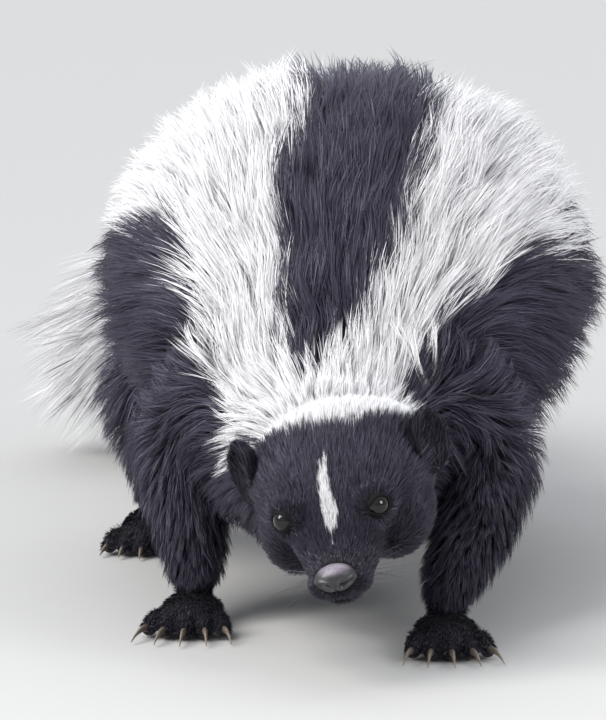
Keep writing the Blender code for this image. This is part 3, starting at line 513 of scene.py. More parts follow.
def carve_mouth(points, depth=1.3 * MM, reach=0.8 * MM):
    """Presses the line between the lips into points of the head's skin."""
    local = moved(TO_HEAD, points)
    path = np.array(MOUTH_MM) * MM
    away = unit(local - MUZZLE_CORE)
    line = []
    for a, b in zip(path[:-1], path[1:]):
        line += [unit(a + (b - a) * t - MUZZLE_CORE) for t in np.linspace(0, 1, 8)]
    apart = np.sqrt(np.maximum(0, 2 - 2 * (away @ np.array(line).T).max(1)))
    apart *= np.linalg.norm(local - MUZZLE_CORE, axis=1)
    near = np.linalg.norm(local - MUZZLE_CORE, axis=1) < 30 * MM
    press = depth * np.exp(-((apart / reach) ** 2)) * near
    local -= away * press[:, None]
    return moved(HEAD_PLACE, local), np.where(near, apart, 1.0)


def baked(thing):
    """Applies a thing's modifiers to its mesh."""
    graph = bpy.context.evaluated_depsgraph_get()
    mesh = bpy.data.meshes.new_from_object(thing.evaluated_get(graph))
    thing.modifiers.clear()
    thing.data = mesh


def coordinates(mesh):
    points = np.empty(len(mesh.vertices) * 3, np.float32)
    mesh.vertices.foreach_get("co", points)
    return points.reshape(-1, 3).astype(float)


def make_flesh():
    """All of the body's flesh as one smooth closed skin, finer on the head and paws."""
    flesh = Shapes()
    flesh.tube(TORSO.rings(6 * MM, 80, torso_coat))
    flesh.tube(TAIL.rings(5 * MM, 40, bare))
    flesh.ball(placed(TAIL.frame(np.array([TAIL.length]))[0][0], (TAIL_MM[-1][3] * MM,) * 3))
    for middle, half in SHOULDERS_MM:
        size = np.array(half) * MM - SHOULDER_COAT
        flesh.ball(placed(np.array(middle) * MM + SHIFT, size))
    for leg, sweep in LEGS.items():
        flesh.tube(sweep.rings(4 * MM, 48, full_coat))
        add_paw(flesh, leg)
    add_head(flesh)
    skin = flesh.object("skin")
    blocks = skin.modifiers.new("blocks", "REMESH")
    blocks.mode = "VOXEL"
    blocks.voxel_size = 0.85 * MM
    soften = skin.modifiers.new("soften", "SMOOTH")
    soften.factor = 0.5
    soften.iterations = 5
    baked(skin)
    points, _ = carve_mouth(coordinates(skin.data))
    points[:, 2] = np.maximum(points[:, 2], SOLE_LIFT)
    skin.data.vertices.foreach_set("co", points.astype(np.float32).ravel())
    plain = skin.vertex_groups.new(name="plain")
    local = moved(TO_HEAD, points)
    coarse = smooth_step(25 * MM, 45 * MM, local[:, 1]) * smooth_step(12 * MM, 30 * MM, points[:, 2])
    for weight in np.linspace(0.1, 1, 10):
        chosen = np.flatnonzero(np.round(coarse, 1) == round(weight, 1))
        plain.add(chosen.tolist(), float(weight), "REPLACE")
    fewer = skin.modifiers.new("fewer", "DECIMATE")
    fewer.ratio = 0.3
    fewer.vertex_group = "plain"
    baked(skin)
    return skin


def add_ear(shapes, side):
    """A rounded cup, open forwards and outwards, with a thin wall and its top curled back."""
    turn = (
        Matrix.Rotation(math.radians(EAR_TURN * side), 3, "Z")
        @ Matrix.Rotation(math.radians(EAR_LEAN * side), 3, "Y")
    )
    place = HEAD_PLACE @ Matrix.Translation(Vector(mirrored(EAR_MIDDLE, side))) @ turn.to_4x4()
    around = np.linspace(0, 2 * math.pi, 48, endpoint=False)
    outer, inner = EAR_HALF - EAR_COAT, EAR_HALF - EAR_WALL
    outer_rim = math.acos(-EAR_RIM / outer[1])
    inner_rim = math.acos((EAR_HOLLOW - EAR_RIM) / inner[1])
    rings = []
    for half, ahead, tilts in (
        (outer, 0, np.linspace(0.03, outer_rim, 14)),
        (inner, EAR_HOLLOW, np.linspace(inner_rim, 0.03, 12)),
    ):
        for tilt in tilts:
            x = half[0] * math.sin(tilt) * np.cos(around)
            z = half[2] * math.sin(tilt) * np.sin(around)
            y = half[1] * math.cos(tilt) - ahead + EAR_BEND * MM * smooth_step(0.2, 1, z / half[2])
            rings.append(np.stack([x, y, z], 1))
    shapes.tube(moved(place, np.array(rings)))


def add_lids(shapes, side):
    """Both lids of an eye as one band: its edge on the eye, a rounded rim, a crease and a skirt
    that ends under the skin."""
    place = HEAD_PLACE @ placed(eye_middle(side), (1, 1, 1), eye_turn(side))
    around = np.linspace(0, 2 * math.pi, 64, endpoint=False)
    nasal = math.pi if side > 0 else 0.0
    corner = np.abs((around - nasal + math.pi) % (2 * math.pi) - math.pi)
    wide, high = np.array(LID_OPENING) * MM
    opening = 1 / np.hypot(np.cos(around) / wide, np.sin(around) / high)
    opening += LID_CORNER * np.exp(-((corner / 0.35) ** 2))
    rings = []
    for out, rise in LID_ROWS_MM:
        reach = opening + out * MM
        ball = np.maximum((EYE_RADIUS + MM) ** 2 - reach**2, 0)
        height = np.sqrt(ball) + (rise - 1) * MM
        rings.append(np.stack([reach * np.cos(around), reach * np.sin(around), height], 1))
    shapes.ring(moved(place, np.array(rings)))


def make_skin():
    """The flesh with its ears and lids, and for each vertex whether it is ear or lid."""
    flesh = make_flesh()
    shapes = Shapes()
    shapes.add(coordinates(flesh.data), [tuple(p.vertices) for p in flesh.data.polygons])
    bpy.data.objects.remove(flesh)
    kinds = [np.zeros(shapes.count, int)]
    for make, kind in ((add_ear, EAR), (add_lids, LID)):
        before = shapes.count
        for side in (1, -1):
            make(shapes, side)
        kinds.append(np.full(shapes.count - before, kind))
    return shapes.object("skin"), np.concatenate(kinds)


def white_share(points):
    """Whether the fur there is white, from 0 to 1, by the markings of back, nape and face."""
    s, angle, _, _ = TORSO.locate(points, torso_coat)
    s, angle = s / MM, np.degrees(angle)
    lower_right = np.interp(s, WHITE_RIGHT_S, WHITE_RIGHT)
    lower_left = np.interp(s, WHITE_LEFT_S, WHITE_LEFT)
    edge = np.where(angle < 0, angle + lower_right, lower_left - angle)
    stripe = np.maximum(np.interp(s, STRIPE_S, STRIPE_RIGHT) - angle, angle - np.interp(s, STRIPE_S, STRIPE_LEFT))
    stripe = np.where(s < STRIPE_S[0], 90, stripe)
    body = np.minimum(edge, stripe) / 3
    x, y, z = (moved(TO_HEAD, points) / MM).T
    crown = (y - CROWN_BACK - CROWN_CURVE * x**2) / 2
    blaze = np.interp(y, BLAZE_Y, BLAZE_HALF, 0, 0) - np.abs(x - np.interp(y, BLAZE_Y, BLAZE_X))
    blaze = np.where((z > -8) & (np.abs(x) < 5) & (y < 11) & (y > -21), 2.5 * blaze, -9)
    on_head = (y < 60) & (np.abs(x) < 45)
    return np.where(on_head, np.maximum(np.minimum(body, crown), blaze), body)


class Skin:
    """The skin's vertices with the coat that grows on each: part, lie, depth and length."""

    def __init__(self, thing, kinds):
        mesh = thing.data
        self.points = coordinates(mesh)
        normals = np.empty(len(mesh.vertices) * 3, np.float32)
        mesh.vertices.foreach_get("normal", normals)
        self.normals = normals.reshape(-1, 3).astype(float)
        mesh.calc_loop_triangles()
        corners = np.empty(len(mesh.loop_triangles) * 3, np.int32)
        mesh.loop_triangles.foreach_get("vertices", corners)
        self.triangles = corners.reshape(-1, 3)
        self.kinds = kinds
        self.settle_coat()
        self.smooth_lie()
        a, b, c = (self.points[self.triangles[:, k]] for k in range(3))
        self.areas = np.linalg.norm(np.cross(b - a, c - a), axis=1) / 2
        self.tree = BVHTree.FromPolygons(self.points.tolist(), self.triangles.tolist())
        self.face_normals = unit(self.normals[self.triangles].sum(1))
        self.face_lies = unit(self.lies[self.triangles].sum(1))

    def settle_coat(self):
        """Blends what each part of the body says of the coat, by how near the part is."""
        count = len(self.points)
        local = moved(TO_HEAD, self.points)
        turn = np.array(HEAD_PLACE)[:3, :3]
        said = []
        for sweep, share in ((TORSO, torso_coat), (TAIL, bare), *((leg, full_coat) for leg in LEGS.values())):
            said.append((sweep, share, sweep.locate(self.points, share)))
        at = HEAD.locate(local, full_coat)
        said.append((HEAD, full_coat, (*at[:3], at[3] @ turn.T)))
        weights = np.zeros((count, len(said)))
        depths, lies = np.zeros((count, len(said))), np.zeros((count, len(said), 3))
        self.where = np.zeros((count, len(said), 2))
        for k, (sweep, share, (s, angle, outside, along)) in enumerate(said):
            weights[:, k] = 1 / (0.6 * MM + outside) ** 3
            row = sweep.row(np.clip(s, 0, sweep.length))
            depths[:, k] = row[:, 6] * (share(angle) if sweep is not TAIL else 1)
            lies[:, k] = along
            self.where[:, k] = np.stack([s, angle], 1)
            if TAIL_PART < k < HEAD_PART:
                down = smooth_step(LEG_STARTS, LEG_SETTLES, s)[:, None]
                lies[:, k] = along * down + lies[:, 0] * (1 - down)
        weights /= weights.sum(1, keepdims=True)
        self.part = weights.argmax(1)
        self.depth = (weights * depths).sum(1)
        self.lies = unit((weights[..., None] * lies).sum(1))
        self.lies[:, 2] -= FLANK_DROOP * weights[:, 0] * np.abs(self.normals[:, 0])
        ahead = smooth_step(0.1, 0.7, -self.normals[:, 1]) * smooth_step(0.45, 0.1, self.normals[:, 2])
        self.lies[:, 2] -= FRONT_DROOP * ahead * (1 - weights[:, TAIL_PART] - weights[:, HEAD_PART])
        self.where = self.where[np.arange(count), self.part]
        tail = weights[:, 1]
        long_share = smooth_step(SHORT_COAT, LONG_COAT, self.depth)
        plain = self.depth * (SHORT_LENGTH + (LONG_LENGTH - SHORT_LENGTH) * long_share)
        self.length = tail * self.depth + (1 - tail) * plain
        self.settle_paws()
        self.settle_ears_and_lids(local)

    def settle_paws(self):
        for k, leg in enumerate(LEGS):
            heading = math.radians(PAWS[leg]["turn"])
            ahead = np.array([math.sin(heading), -math.cos(heading), 0])
            mine = (self.part == k + 2) & (self.points[:, 2] < 22 * MM)
            share = smooth_step(22 * MM, 13 * MM, self.points[:, 2])[mine, None]
            self.lies[mine] = unit(self.lies[mine] * (1 - share) + ahead * share)
            share = share[:, 0]
            self.depth[mine] = self.depth[mine] * (1 - share) + PAW_FUR_DEPTH * share
            self.length[mine] = self.length[mine] * (1 - share) + PAW_FUR * share
        soles = (self.points[:, 2] < 3 * MM) & (self.normals[:, 2] < -0.5)
        self.kinds = np.where(soles, SOLE, self.kinds)

    def settle_ears_and_lids(self, local):
        ears = self.kinds == EAR
        side = np.where(local[:, 0] > 0, 1, -1)[:, None]
        middle = EAR_MIDDLE * np.concatenate([side, np.ones((len(side), 2))], 1)
        spread = unit(local - middle + np.array([0, 0, 14 * MM]))
        self.lies[ears] = (spread @ np.array(HEAD_PLACE)[:3, :3].T)[ears]
        self.depth[ears], self.length[ears] = 2 * MM, EAR_FUR
        turn = math.radians(EAR_TURN)
        opening = np.concatenate([side * math.sin(turn), side * 0 - math.cos(turn), side * 0], 1)
        inside = self.normals @ np.array(HEAD_PLACE)[:3, :3]
        self.kinds = np.where(ears & ((inside * opening).sum(1) > 0.3), HOLLOW, self.kinds)
        self.part[ears] = EAR_PART
        self.where[ears] = (local - middle)[ears][:, [2, 0]]
        lids = self.kinds == LID
        self.depth[lids], self.length[lids] = MM, 1.5 * MM
        for k in (1, -1):
            off = local - eye_middle(k)
            away = np.linalg.norm(off, axis=1)
            share = smooth_step(11 * MM, 5 * MM, away)
            self.length *= 1 - 0.35 * share
            outward = unit(off) @ np.array(HEAD_PLACE)[:3, :3].T
            self.lies = unit(self.lies + 1.6 * outward * share[:, None])
            flat = np.linalg.norm((off @ np.array(eye_turn(k)))[:, :2] / LID_OPENING / MM, axis=1)
            near = away < 8 * MM
            self.kinds = np.where(near & (self.kinds == LID) & (flat > 1.28), 0, self.kinds)
            self.kinds = np.where(near & (self.kinds == 0) & (flat < 1.28), LID, self.kinds)
        nose = np.linalg.norm((local - NOSE_MIDDLE) / NOSE_HALF, axis=1)
        _, apart = carve_mouth(self.points, 0)
        self.length = np.maximum(self.length * (0.5 + 0.5 * smooth_step(1.2, 2.6, nose)), MUZZLE_FUR)
        bare_skin = (self.kinds == 0) & ((nose < 1) | (apart < 0.6 * MM))
        self.kinds = np.where(bare_skin, LIP, self.kinds)

    def smooth_lie(self, rounds=40, short_rounds=8):
        """Evens out the lie of the coat between neighbours, along the skin, most where it is long."""
        long_coat = self.depth > SHORT_COAT
        a, b = np.concatenate([self.triangles[:, [0, 1]], self.triangles[:, [1, 2]], self.triangles[:, [2, 0]]]).T
        count = len(self.points)
        for turn in range(rounds):
            held = self.lies.copy()
            for k in range(3):
                pulled = np.bincount(a, self.lies[b, k], count) + np.bincount(b, self.lies[a, k], count)
                self.lies[:, k] = self.lies[:, k] + pulled
            self.lies -= self.normals * (self.lies * self.normals).sum(1, keepdims=True)
            self.lies = unit(self.lies)
            if turn >= short_rounds:
                self.lies = np.where(long_coat[:, None], self.lies, held)

    def roots(self, per_mm2, draw):
        """Random places on the skin, so many to the square millimetre, with all they carry."""
        expected = self.areas * per_mm2[self.triangles].mean(1) / MM**2
        chosen = np.repeat(np.arange(len(self.areas)), draw.poisson(expected))
        u, v = draw.random(len(chosen)), draw.random(len(chosen))
        over = u + v > 1
        u, v = np.where(over, 1 - u, u), np.where(over, 1 - v, v)
        shares = np.stack([1 - u - v, u, v], 1)
        corners = self.triangles[chosen]
        largest = corners[np.arange(len(corners)), shares.argmax(1)]

        def mixed(values):
            return (values[corners] * shares.reshape(*shares.shape, *(1,) * (values.ndim - 1))).sum(1)

        return {
            "root": mixed(self.points), "normal": unit(mixed(self.normals)),
            "lie": unit(mixed(self.lies)), "depth": mixed(self.depth),
            "length": mixed(self.length), "part": self.part[largest],
            "where": self.where[largest], "kind": self.kinds[largest],
        }


def lifts(depth, part):
    """How far hairs stand off the skin at the root and at the tip, in radians."""
    long_share = smooth_step(SHORT_COAT, LONG_COAT, depth)
    both = []
    for short, long, tail in zip(SHORT_LIFT, LONG_LIFT, TAIL_LIFT):
        both.append(np.radians(np.where(part == TAIL_PART, tail, short + (long - short) * long_share)))
    return both


def guide_paths(skin, guides, draw):
    """The line of the hair at the middle of each tuft, as rows of points from root to tip."""
    count, steps = len(guides["root"]), GUIDE_POINTS
    first, last = lifts(guides["depth"], guides["part"])
    unruly = np.clip(draw.normal(0, 1, count), -1.6, 1.6)
    first, last = first * (1 + 0.08 * unruly), last * (1 + 0.3 * unruly)
    drift = np.array([noise.noise(p) for p in guides["root"] * DRIFT_SCALE]) * DRIFT
    drift *= smooth_step(SHORT_COAT, LONG_COAT, guides["depth"]) * 0.8 + 0.2
    aside = draw.normal(0, SWAY, count) + drift
    sway = unit(np.cross(guides["lie"], guides["normal"])) * aside[:, None]
    lie, normal = unit(guides["lie"] + sway), guides["normal"].copy()
    tail = guides["part"] == TAIL_PART
    long = np.flatnonzero((guides["depth"] > 6 * MM) & ~tail)
    step = guides["length"] / (steps - 1)
    paths = np.empty((count, steps, 3))
    paths[:, 0] = guides["root"]
    tail_start = TAIL.frame(np.clip(guides["where"][:, 0], 0, TAIL.length))[1]
    for k in range(1, steps):
        t = (k - 0.5) / (steps - 1)
        lift = (first + (last - first) * t)[:, None]
        way = lie * np.cos(lift) + normal * np.sin(lift)
        reach = guides["where"][:, 0] + guides["length"] * t
        bend = TAIL.frame(np.clip(reach, 0, TAIL.length))[1] - tail_start
        way = np.where(tail[:, None], way + 0.6 * bend, way)
        way[:, 2] -= np.where(tail, 0.4, 0.12) * t * smooth_step(5 * MM, 20 * MM, guides["depth"])
        paths[:, k] = paths[:, k - 1] + unit(way) * step[:, None]
        for i in long if k < steps - 1 else ():
            face = skin.tree.find_nearest(paths[i, k])[2]
            if skin.face_normals[face] @ normal[i] < SAME_SLOPE:
                continue
            normal[i] = skin.face_normals[face]
            turned = skin.face_lies[face] + sway[i]
            lie[i] = turned / math.sqrt(turned @ turned)
    return paths


def nearest_guides(hairs, guides):
    """The tuft that each hair belongs to. Facing counts too, so that none is across a gap."""
    spread = 4 * MM
    tree = KDTree(len(guides["root"]))
    for i, co in enumerate(guides["root"] + guides["normal"] * spread):
        tree.insert(co, i)
    tree.balance()
    return np.array([tree.find(co)[1] for co in hairs["root"] + hairs["normal"] * spread])


def hair_lines(hairs, guides, paths, mine, count, draw):
    """Points along each hair: the line of its tuft from its own root, drawn in towards it."""
    number = len(mine)
    t = np.linspace(0, 1, count)
    reach = t * (draw.uniform(0.76, 1.04, number) * guides["size"][mine])[:, None]
    at = np.clip(reach, 0, 1) * (GUIDE_POINTS - 1)
    before = np.minimum(at.astype(int), GUIDE_POINTS - 2)
    share = (at - before)[..., None]
    path = paths[mine]
    rows = np.arange(number)[:, None]
    line = path[rows, before] * (1 - share) + path[rows, before + 1] * share - path[:, :1]
    off = hairs["root"] - guides["root"][mine]
    loose = draw.random(number) < LOOSE_SHARE
    long_share = smooth_step(3 * MM, 12 * MM, hairs["depth"])
    clump = 0.3 + 0.25 * long_share + 0.15 * guides["hold"][mine]
    clump = np.where(loose, 0.1, clump + draw.normal(0, 0.08, number))
    across = unit(np.cross(hairs["lie"], hairs["normal"]))
    stray = np.where(loose, 0.08, 0.04) * hairs["length"]
    bow = across * (np.clip(draw.normal(0, 1, number), -2, 2) * stray)[:, None]
    bow += hairs["normal"] * (draw.uniform(-1, 1, number) * stray * 0.6)[:, None]
    line = line - off[:, None] * (clump[:, None] * t**1.2)[..., None] + bow[:, None] * (t**1.6)[:, None]
    line = line + hairs["root"][:, None] - hairs["normal"][:, None] * ROOT_DEPTH
    line[..., 2] = np.maximum(line[..., 2], 0.6 * MM)
    return line


def island_place(hairs):
    """Where each root lies on the flat layout of the skin: along each part, and round it."""
    part, where = hairs["part"], hairs["where"]
    spot = np.zeros((len(part), 2))
    for k, (left, bottom, wide, high, first, last) in enumerate(ISLANDS):
        mine = part == k
        along = np.clip((where[mine, 0] - first * MM) / ((last - first) * MM), 0, 1)
        if k == EAR_PART:
            round_it = np.clip(where[mine, 1] / (20 * MM) + 0.5, 0, 1)
        else:
            round_it = (where[mine, 1] / (2 * math.pi)) % 1
        spot[mine] = np.stack([left + wide * round_it, bottom + high * along], 1)
    return spot


def hair_colours(hairs, guides, paths, mine, draw):
    """White or black for each hair by where it ends, with the tufts mixing at the borders."""
    ends = hairs["root"] + 0.7 * (paths[mine][:, -1] - paths[mine][:, 0])
    mixed = guides["luck"][mine] * 0.8 + draw.normal(0, 0.35, len(mine))
    white = white_share(ends) + mixed > 0
    s = hairs["where"][:, 0] / TAIL.length
    top = np.cos(hairs["where"][:, 1])
    pale = 0.1 + 0.75 * smooth_step(0.15, 0.8, s) + 0.2 * top
    tail_white = guides["luck"][mine] * 0.22 + 0.5 < pale
    white = np.where(hairs["part"] == TAIL_PART, tail_white, white)
    return white & (hairs["part"] != EAR_PART)


def coat_piece(name, lines, widths, normals, spots, colours):
    """One joined mesh of flat tapered hairs, each with its own small patch on the flat layout."""
    number, rows = lines.shape[:2]
    along = unit(np.gradient(lines, axis=1))
    side = unit(np.cross(along, normals[:, None]))
    taper = np.interp(np.linspace(0, 1, rows), (0, 0.3, 0.75, 1), (0.75, 1, 0.7, 0))
    half = side * (widths[:, None] * taper / 2)[..., None]
    per_hair = 2 * rows - 1
    points = np.empty((number, per_hair, 3))
    points[:, 0:-1:2] = (lines + half)[:, :-1]
    points[:, 1:-1:2] = (lines - half)[:, :-1]
    points[:, -1] = lines[:, -1]
    corners = []
    for k in range(rows - 2):
        corners += [2 * k, 2 * k + 1, 2 * k + 3, 2 * k + 2]
    corners += [2 * rows - 4, 2 * rows - 3, 2 * rows - 2]
    corners = np.array(corners)
    sizes = np.array([4] * (rows - 2) + [3])
    starts = np.concatenate([[0], np.cumsum(sizes)[:-1]])
    loops = (np.arange(number)[:, None] * per_hair + corners).ravel()
    first = (np.arange(number)[:, None] * len(corners) + starts).ravel()

    mesh = bpy.data.meshes.new(name)
    mesh.vertices.add(number * per_hair)
    mesh.vertices.foreach_set("co", points.astype(np.float32).ravel())
    mesh.loops.add(len(loops))
    mesh.loops.foreach_set("vertex_index", loops.astype(np.int32))
    mesh.polygons.add(len(first))
    mesh.polygons.foreach_set("loop_start", first.astype(np.int32))
    mesh.update(calc_edges=True)
    mesh.shade_smooth()

    t = np.repeat(np.linspace(0, 1, rows), 2)[:-1]
    u = np.tile([0.0, 1.0], rows)[:-1]
    u[-1] = 0.5
    local = np.stack([u - 0.5, t - 0.5], 1) * PATCH
    flat = (spots[:, None] + local)[:, corners]
    layer = mesh.uv_layers.new(name="OFBake")
    layer.uv.foreach_set("vector", flat.astype(np.float32).ravel())
    # Painted shade: each hair is painted darker towards its root, for the shade deep in the coat between the
    # tufts, besides its greyer underfur.
    tone_and_painted_light = colours[:, None] * np.interp(t, (0, 0.5, 1), (ROOT_PAINTED_SHADE, 0.9, 1.0))[:, None]
    paint = np.concatenate([tone_and_painted_light, np.ones((number, per_hair, 1))], 2)
    attribute = mesh.color_attributes.new("paint", "FLOAT_COLOR", "POINT")
    attribute.data.foreach_set("color", paint.astype(np.float32).ravel())
    made = bpy.data.objects.new(name, mesh)
    bpy.context.scene.collection.objects.link(made)
    return made


def per_mm2(skin):
    """How many hairs grow on each square millimetre of skin."""
    depth = np.maximum(skin.depth / MM, 1)
    upper = smooth_step(-0.7, 0.4, skin.normals[:, 2])
    density = np.minimum(DENSITY * (14 / depth + 0.25) * (0.6 + 0.75 * upper), 7)
    density = np.where(skin.part == HEAD_PART, density * HEAD_MORE, density)
    legs = (skin.part > TAIL_PART) & (skin.part < HEAD_PART)
    density = np.where(legs, density * LEG_LESS, density)
    density = np.where(skin.part == TAIL_PART, TAIL_DENSITY, density)
    density = np.where(skin.part == EAR_PART, EAR_DENSITY, density)
    density = np.where(skin.points[:, 2] < 18 * MM, np.minimum(density, PAW_DENSITY), density)
    density = np.where(skin.kinds == HOLLOW, density * HOLLOW_SHARE, density)
    return np.where(np.isin(skin.kinds, (0, EAR, HOLLOW)), density, 0)


def make_coat(skin, black, white):
    """All the fur, in pieces by part and colour."""
    draw = np.random.default_rng(SEED)
    density = per_mm2(skin)
    tuft = 7 + 3 * smooth_step(4 * MM, 16 * MM, skin.depth)
    guides = skin.roots(density / tuft, draw)
    number = len(guides["root"])
    guides["luck"], guides["hold"] = draw.normal(0, 1, (2, number))
    guides["size"] = draw.uniform(0.86, 1.06, number)
    paths = guide_paths(skin, guides, draw)
    hairs = skin.roots(density, draw)
    mine = nearest_guides(hairs, guides)
    is_white = hair_colours(hairs, guides, paths, mine, draw)
    spots = island_place(hairs)
    widths = (0.16 + 0.0085 * hairs["depth"] / MM) * MM * draw.uniform(0.75, 1.25, len(mine))
    widths = np.where(hairs["part"] == TAIL_PART, 0.42 * MM, widths)
    tone_and_painted_light = draw.normal(0, 1, len(mine)) + 0.5 * guides["luck"][mine]
    tone_and_painted_light = 1 + np.clip(tone_and_painted_light, -2, 2) * np.where(is_white, 0.045, 0.22)
    # Painted shade: the head's black hair is painted darker.
    tone_and_painted_light = np.where(~is_white & (hairs["part"] == HEAD_PART), tone_and_painted_light * HEAD_PAINTED_SHADE, tone_and_painted_light)
    colours = np.where(is_white[:, None], WHITE_HAIR, BLACK_HAIR) * tone_and_painted_light[:, None]
    facing = unit(hairs["normal"] + draw.normal(0, 0.45, (len(mine), 3)))
    rows = np.select(
        [hairs["part"] == TAIL_PART, hairs["depth"] > 14 * MM, hairs["depth"] > 5.5 * MM], [6, 5, 4], 3
    )
    body_part = np.select(
        [hairs["part"] == TAIL_PART, hairs["part"] == EAR_PART, hairs["part"] == HEAD_PART, hairs["part"] > 1],
        [1, 3, 2, 4], 0,
    )
    names = ("back", "tail", "head", "ears", "legs")
    pieces = []
    for place, name in enumerate(names):
        for pale, finish in ((False, black), (True, white)):
            for count in (3, 4, 5, 6):
                chosen = np.flatnonzero((body_part == place) & (is_white == pale) & (rows == count))
                most = PIECE_TRIANGLES // (2 * count - 3)
                for part, start in enumerate(range(0, len(chosen), most)):
                    some = chosen[start:start + most]
                    picked = {key: value[some] for key, value in hairs.items()}
                    lines = hair_lines(picked, guides, paths, mine[some], count, draw)
                    colour = "white" if pale else "black"
                    label = f"coat_{name}_{colour}_{count}_{part + 1}"
                    made = coat_piece(label, lines, widths[some], facing[some], spots[some], colours[some])
                    made.data.materials.append(finish)
                    pieces.append(made)
    return pieces


def paint_skin(thing, skin):
    """Colours the skin as its coat is marked, and bare places as skin."""
    white = (white_share(skin.points) > 0) & (skin.part != EAR_PART)
    tail_white = (skin.part == TAIL_PART) & (skin.where[:, 0] > 0.5 * TAIL.length)
    white = np.where(skin.part == TAIL_PART, tail_white, white)
    colours = np.where(white[:, None], WHITE_UNDER, BLACK_UNDER)
    colours = np.where((skin.kinds == SOLE)[:, None], PAD_SKIN, colours)
    bare_face = (skin.kinds == LID) | (skin.kinds == LIP) | (skin.kinds == HOLLOW)
    colours = np.where(bare_face[:, None], FACE_SKIN, colours)
    paint_points(thing, colours)


def paint_points(thing, colours):
    paint = np.concatenate([colours, np.ones((len(colours), 1))], 1)
    attribute = thing.data.color_attributes.new("paint", "FLOAT_COLOR", "POINT")
    attribute.data.foreach_set("color", paint.astype(np.float32).ravel())


def finish(name, roughness, bump=0.0, scale=1.0, detail=3.0, variation=0.15, **constants):
    """A material whose colour is the paint, unevenly, with a fine bump of its own."""
    made = bpy.data.materials.new(name)
    made.use_nodes = True
    tree = made.node_tree
    shader = tree.nodes["Principled BSDF"]
    shader.inputs["Roughness"].default_value = roughness
    for socket, value in constants.items():
        shader.inputs[socket.replace("_", " ")].default_value = value
    paint = tree.nodes.new("ShaderNodeAttribute")
    paint.attribute_name = "paint"
    place = tree.nodes.new("ShaderNodeTexCoord")
    noise = tree.nodes.new("ShaderNodeTexNoise")
    noise.inputs["Scale"].default_value = scale
    noise.inputs["Detail"].default_value = detail
    uneven = tree.nodes.new("ShaderNodeMapRange")
    uneven.inputs["From Min"].default_value = 0.3
    uneven.inputs["From Max"].default_value = 0.7
    uneven.inputs["To Min"].default_value = 1 - variation
    uneven.inputs["To Max"].default_value = 1 + variation
    mixed = tree.nodes.new("ShaderNodeVectorMath")
    mixed.operation = "SCALE"
    links = tree.links
    links.new(place.outputs["Object"], noise.inputs["Vector"])
    links.new(noise.outputs["Fac"], uneven.inputs["Value"])
    links.new(paint.outputs["Color"], mixed.inputs[0])
    links.new(uneven.outputs["Result"], mixed.inputs["Scale"])
    links.new(mixed.outputs["Vector"], shader.inputs["Base Color"])
    if bump:
        ridges = tree.nodes.new("ShaderNodeBump")
        ridges.inputs["Strength"].default_value = bump
        ridges.inputs["Distance"].default_value = 0.3 * MM
        links.new(noise.outputs["Fac"], ridges.inputs["Height"])
        links.new(ridges.outputs["Normal"], shader.inputs["Normal"])
    return made


def make_eye(side, name, material):
    """A glossy eyeball with a dark iris and a black pupil."""
    shapes = Shapes()
    place = HEAD_PLACE @ placed(eye_middle(side), (EYE_RADIUS,) * 3, eye_turn(side))
    shapes.ball(place, 48)
    eye = shapes.object(name)
    eye.data.materials.append(material)
    look = np.array(place)[:3, 2] / EYE_RADIUS
    middle = np.array(place)[:3, 3]
    toward = unit(coordinates(eye.data) - middle) @ look
    off = np.degrees(np.arccos(np.clip(toward, -1, 1)))
    iris = smooth_step(20, 26, off) * (1 - smooth_step(44, 50, off))
    paint_points(eye, PUPIL + (IRIS - PUPIL) * iris[:, None])
    return eye


def make_nose(material):
    """The nose pad: two comma-shaped nostrils with raised rims, and a groove below. Its top is painted lighter as
    painted light, and its nostrils darker as painted shade.
    """
    shapes = Shapes()
    shapes.ball(placed((0, 0, 0), (1, 1, 1)), 90)
    nose = shapes.object("nose_pad")
    ball = coordinates(nose.data)
    mm = ball * NOSE_HALF / MM
    tone_and_painted_light = np.tile(NOSE_SKIN, (len(mm), 1))
    # Painted light: the top of the pad is painted up to ten times lighter, as if lit from above.
    tone_and_painted_light *= (1 + 9 * smooth_step(2.2, 4.8, mm[:, 2]))[:, None]
    mm[:, 0] *= 1 - 0.28 * smooth_step(0, -4.6, mm[:, 2])
    out = unit(mm)
    move = -0.5 * np.exp(-((mm[:, 0] / 0.5) ** 2)) * smooth_step(1, -1.5, mm[:, 2])
    for side in (-1, 1):
        first, last = np.array([2.9 * side, -4.8, -1.4]), np.array([6.4 * side, -2.8, -1.0])
        t = np.clip(((mm - first) @ (last - first)) / ((last - first) @ (last - first)), 0, 1)
        apart = np.linalg.norm(mm - first - t[:, None] * (last - first), axis=1)
        move -= 2.2 * np.exp(-((apart / 1.05) ** 2))
        move += 0.5 * np.exp(-(((apart - 2.1) / 0.7) ** 2))
        # Painted shade: darker inside each nostril.
        tone_and_painted_light *= (1 - 0.85 * np.exp(-((apart / 1.1) ** 2)))[:, None]
    mm += out * move[:, None]
    points = moved(HEAD_PLACE, mm * MM + NOSE_MIDDLE)
    nose.data.vertices.foreach_set("co", points.astype(np.float32).ravel())
    nose.data.update()
    nose.data.materials.append(material)
    paint_points(nose, tone_and_painted_light)
    return nose


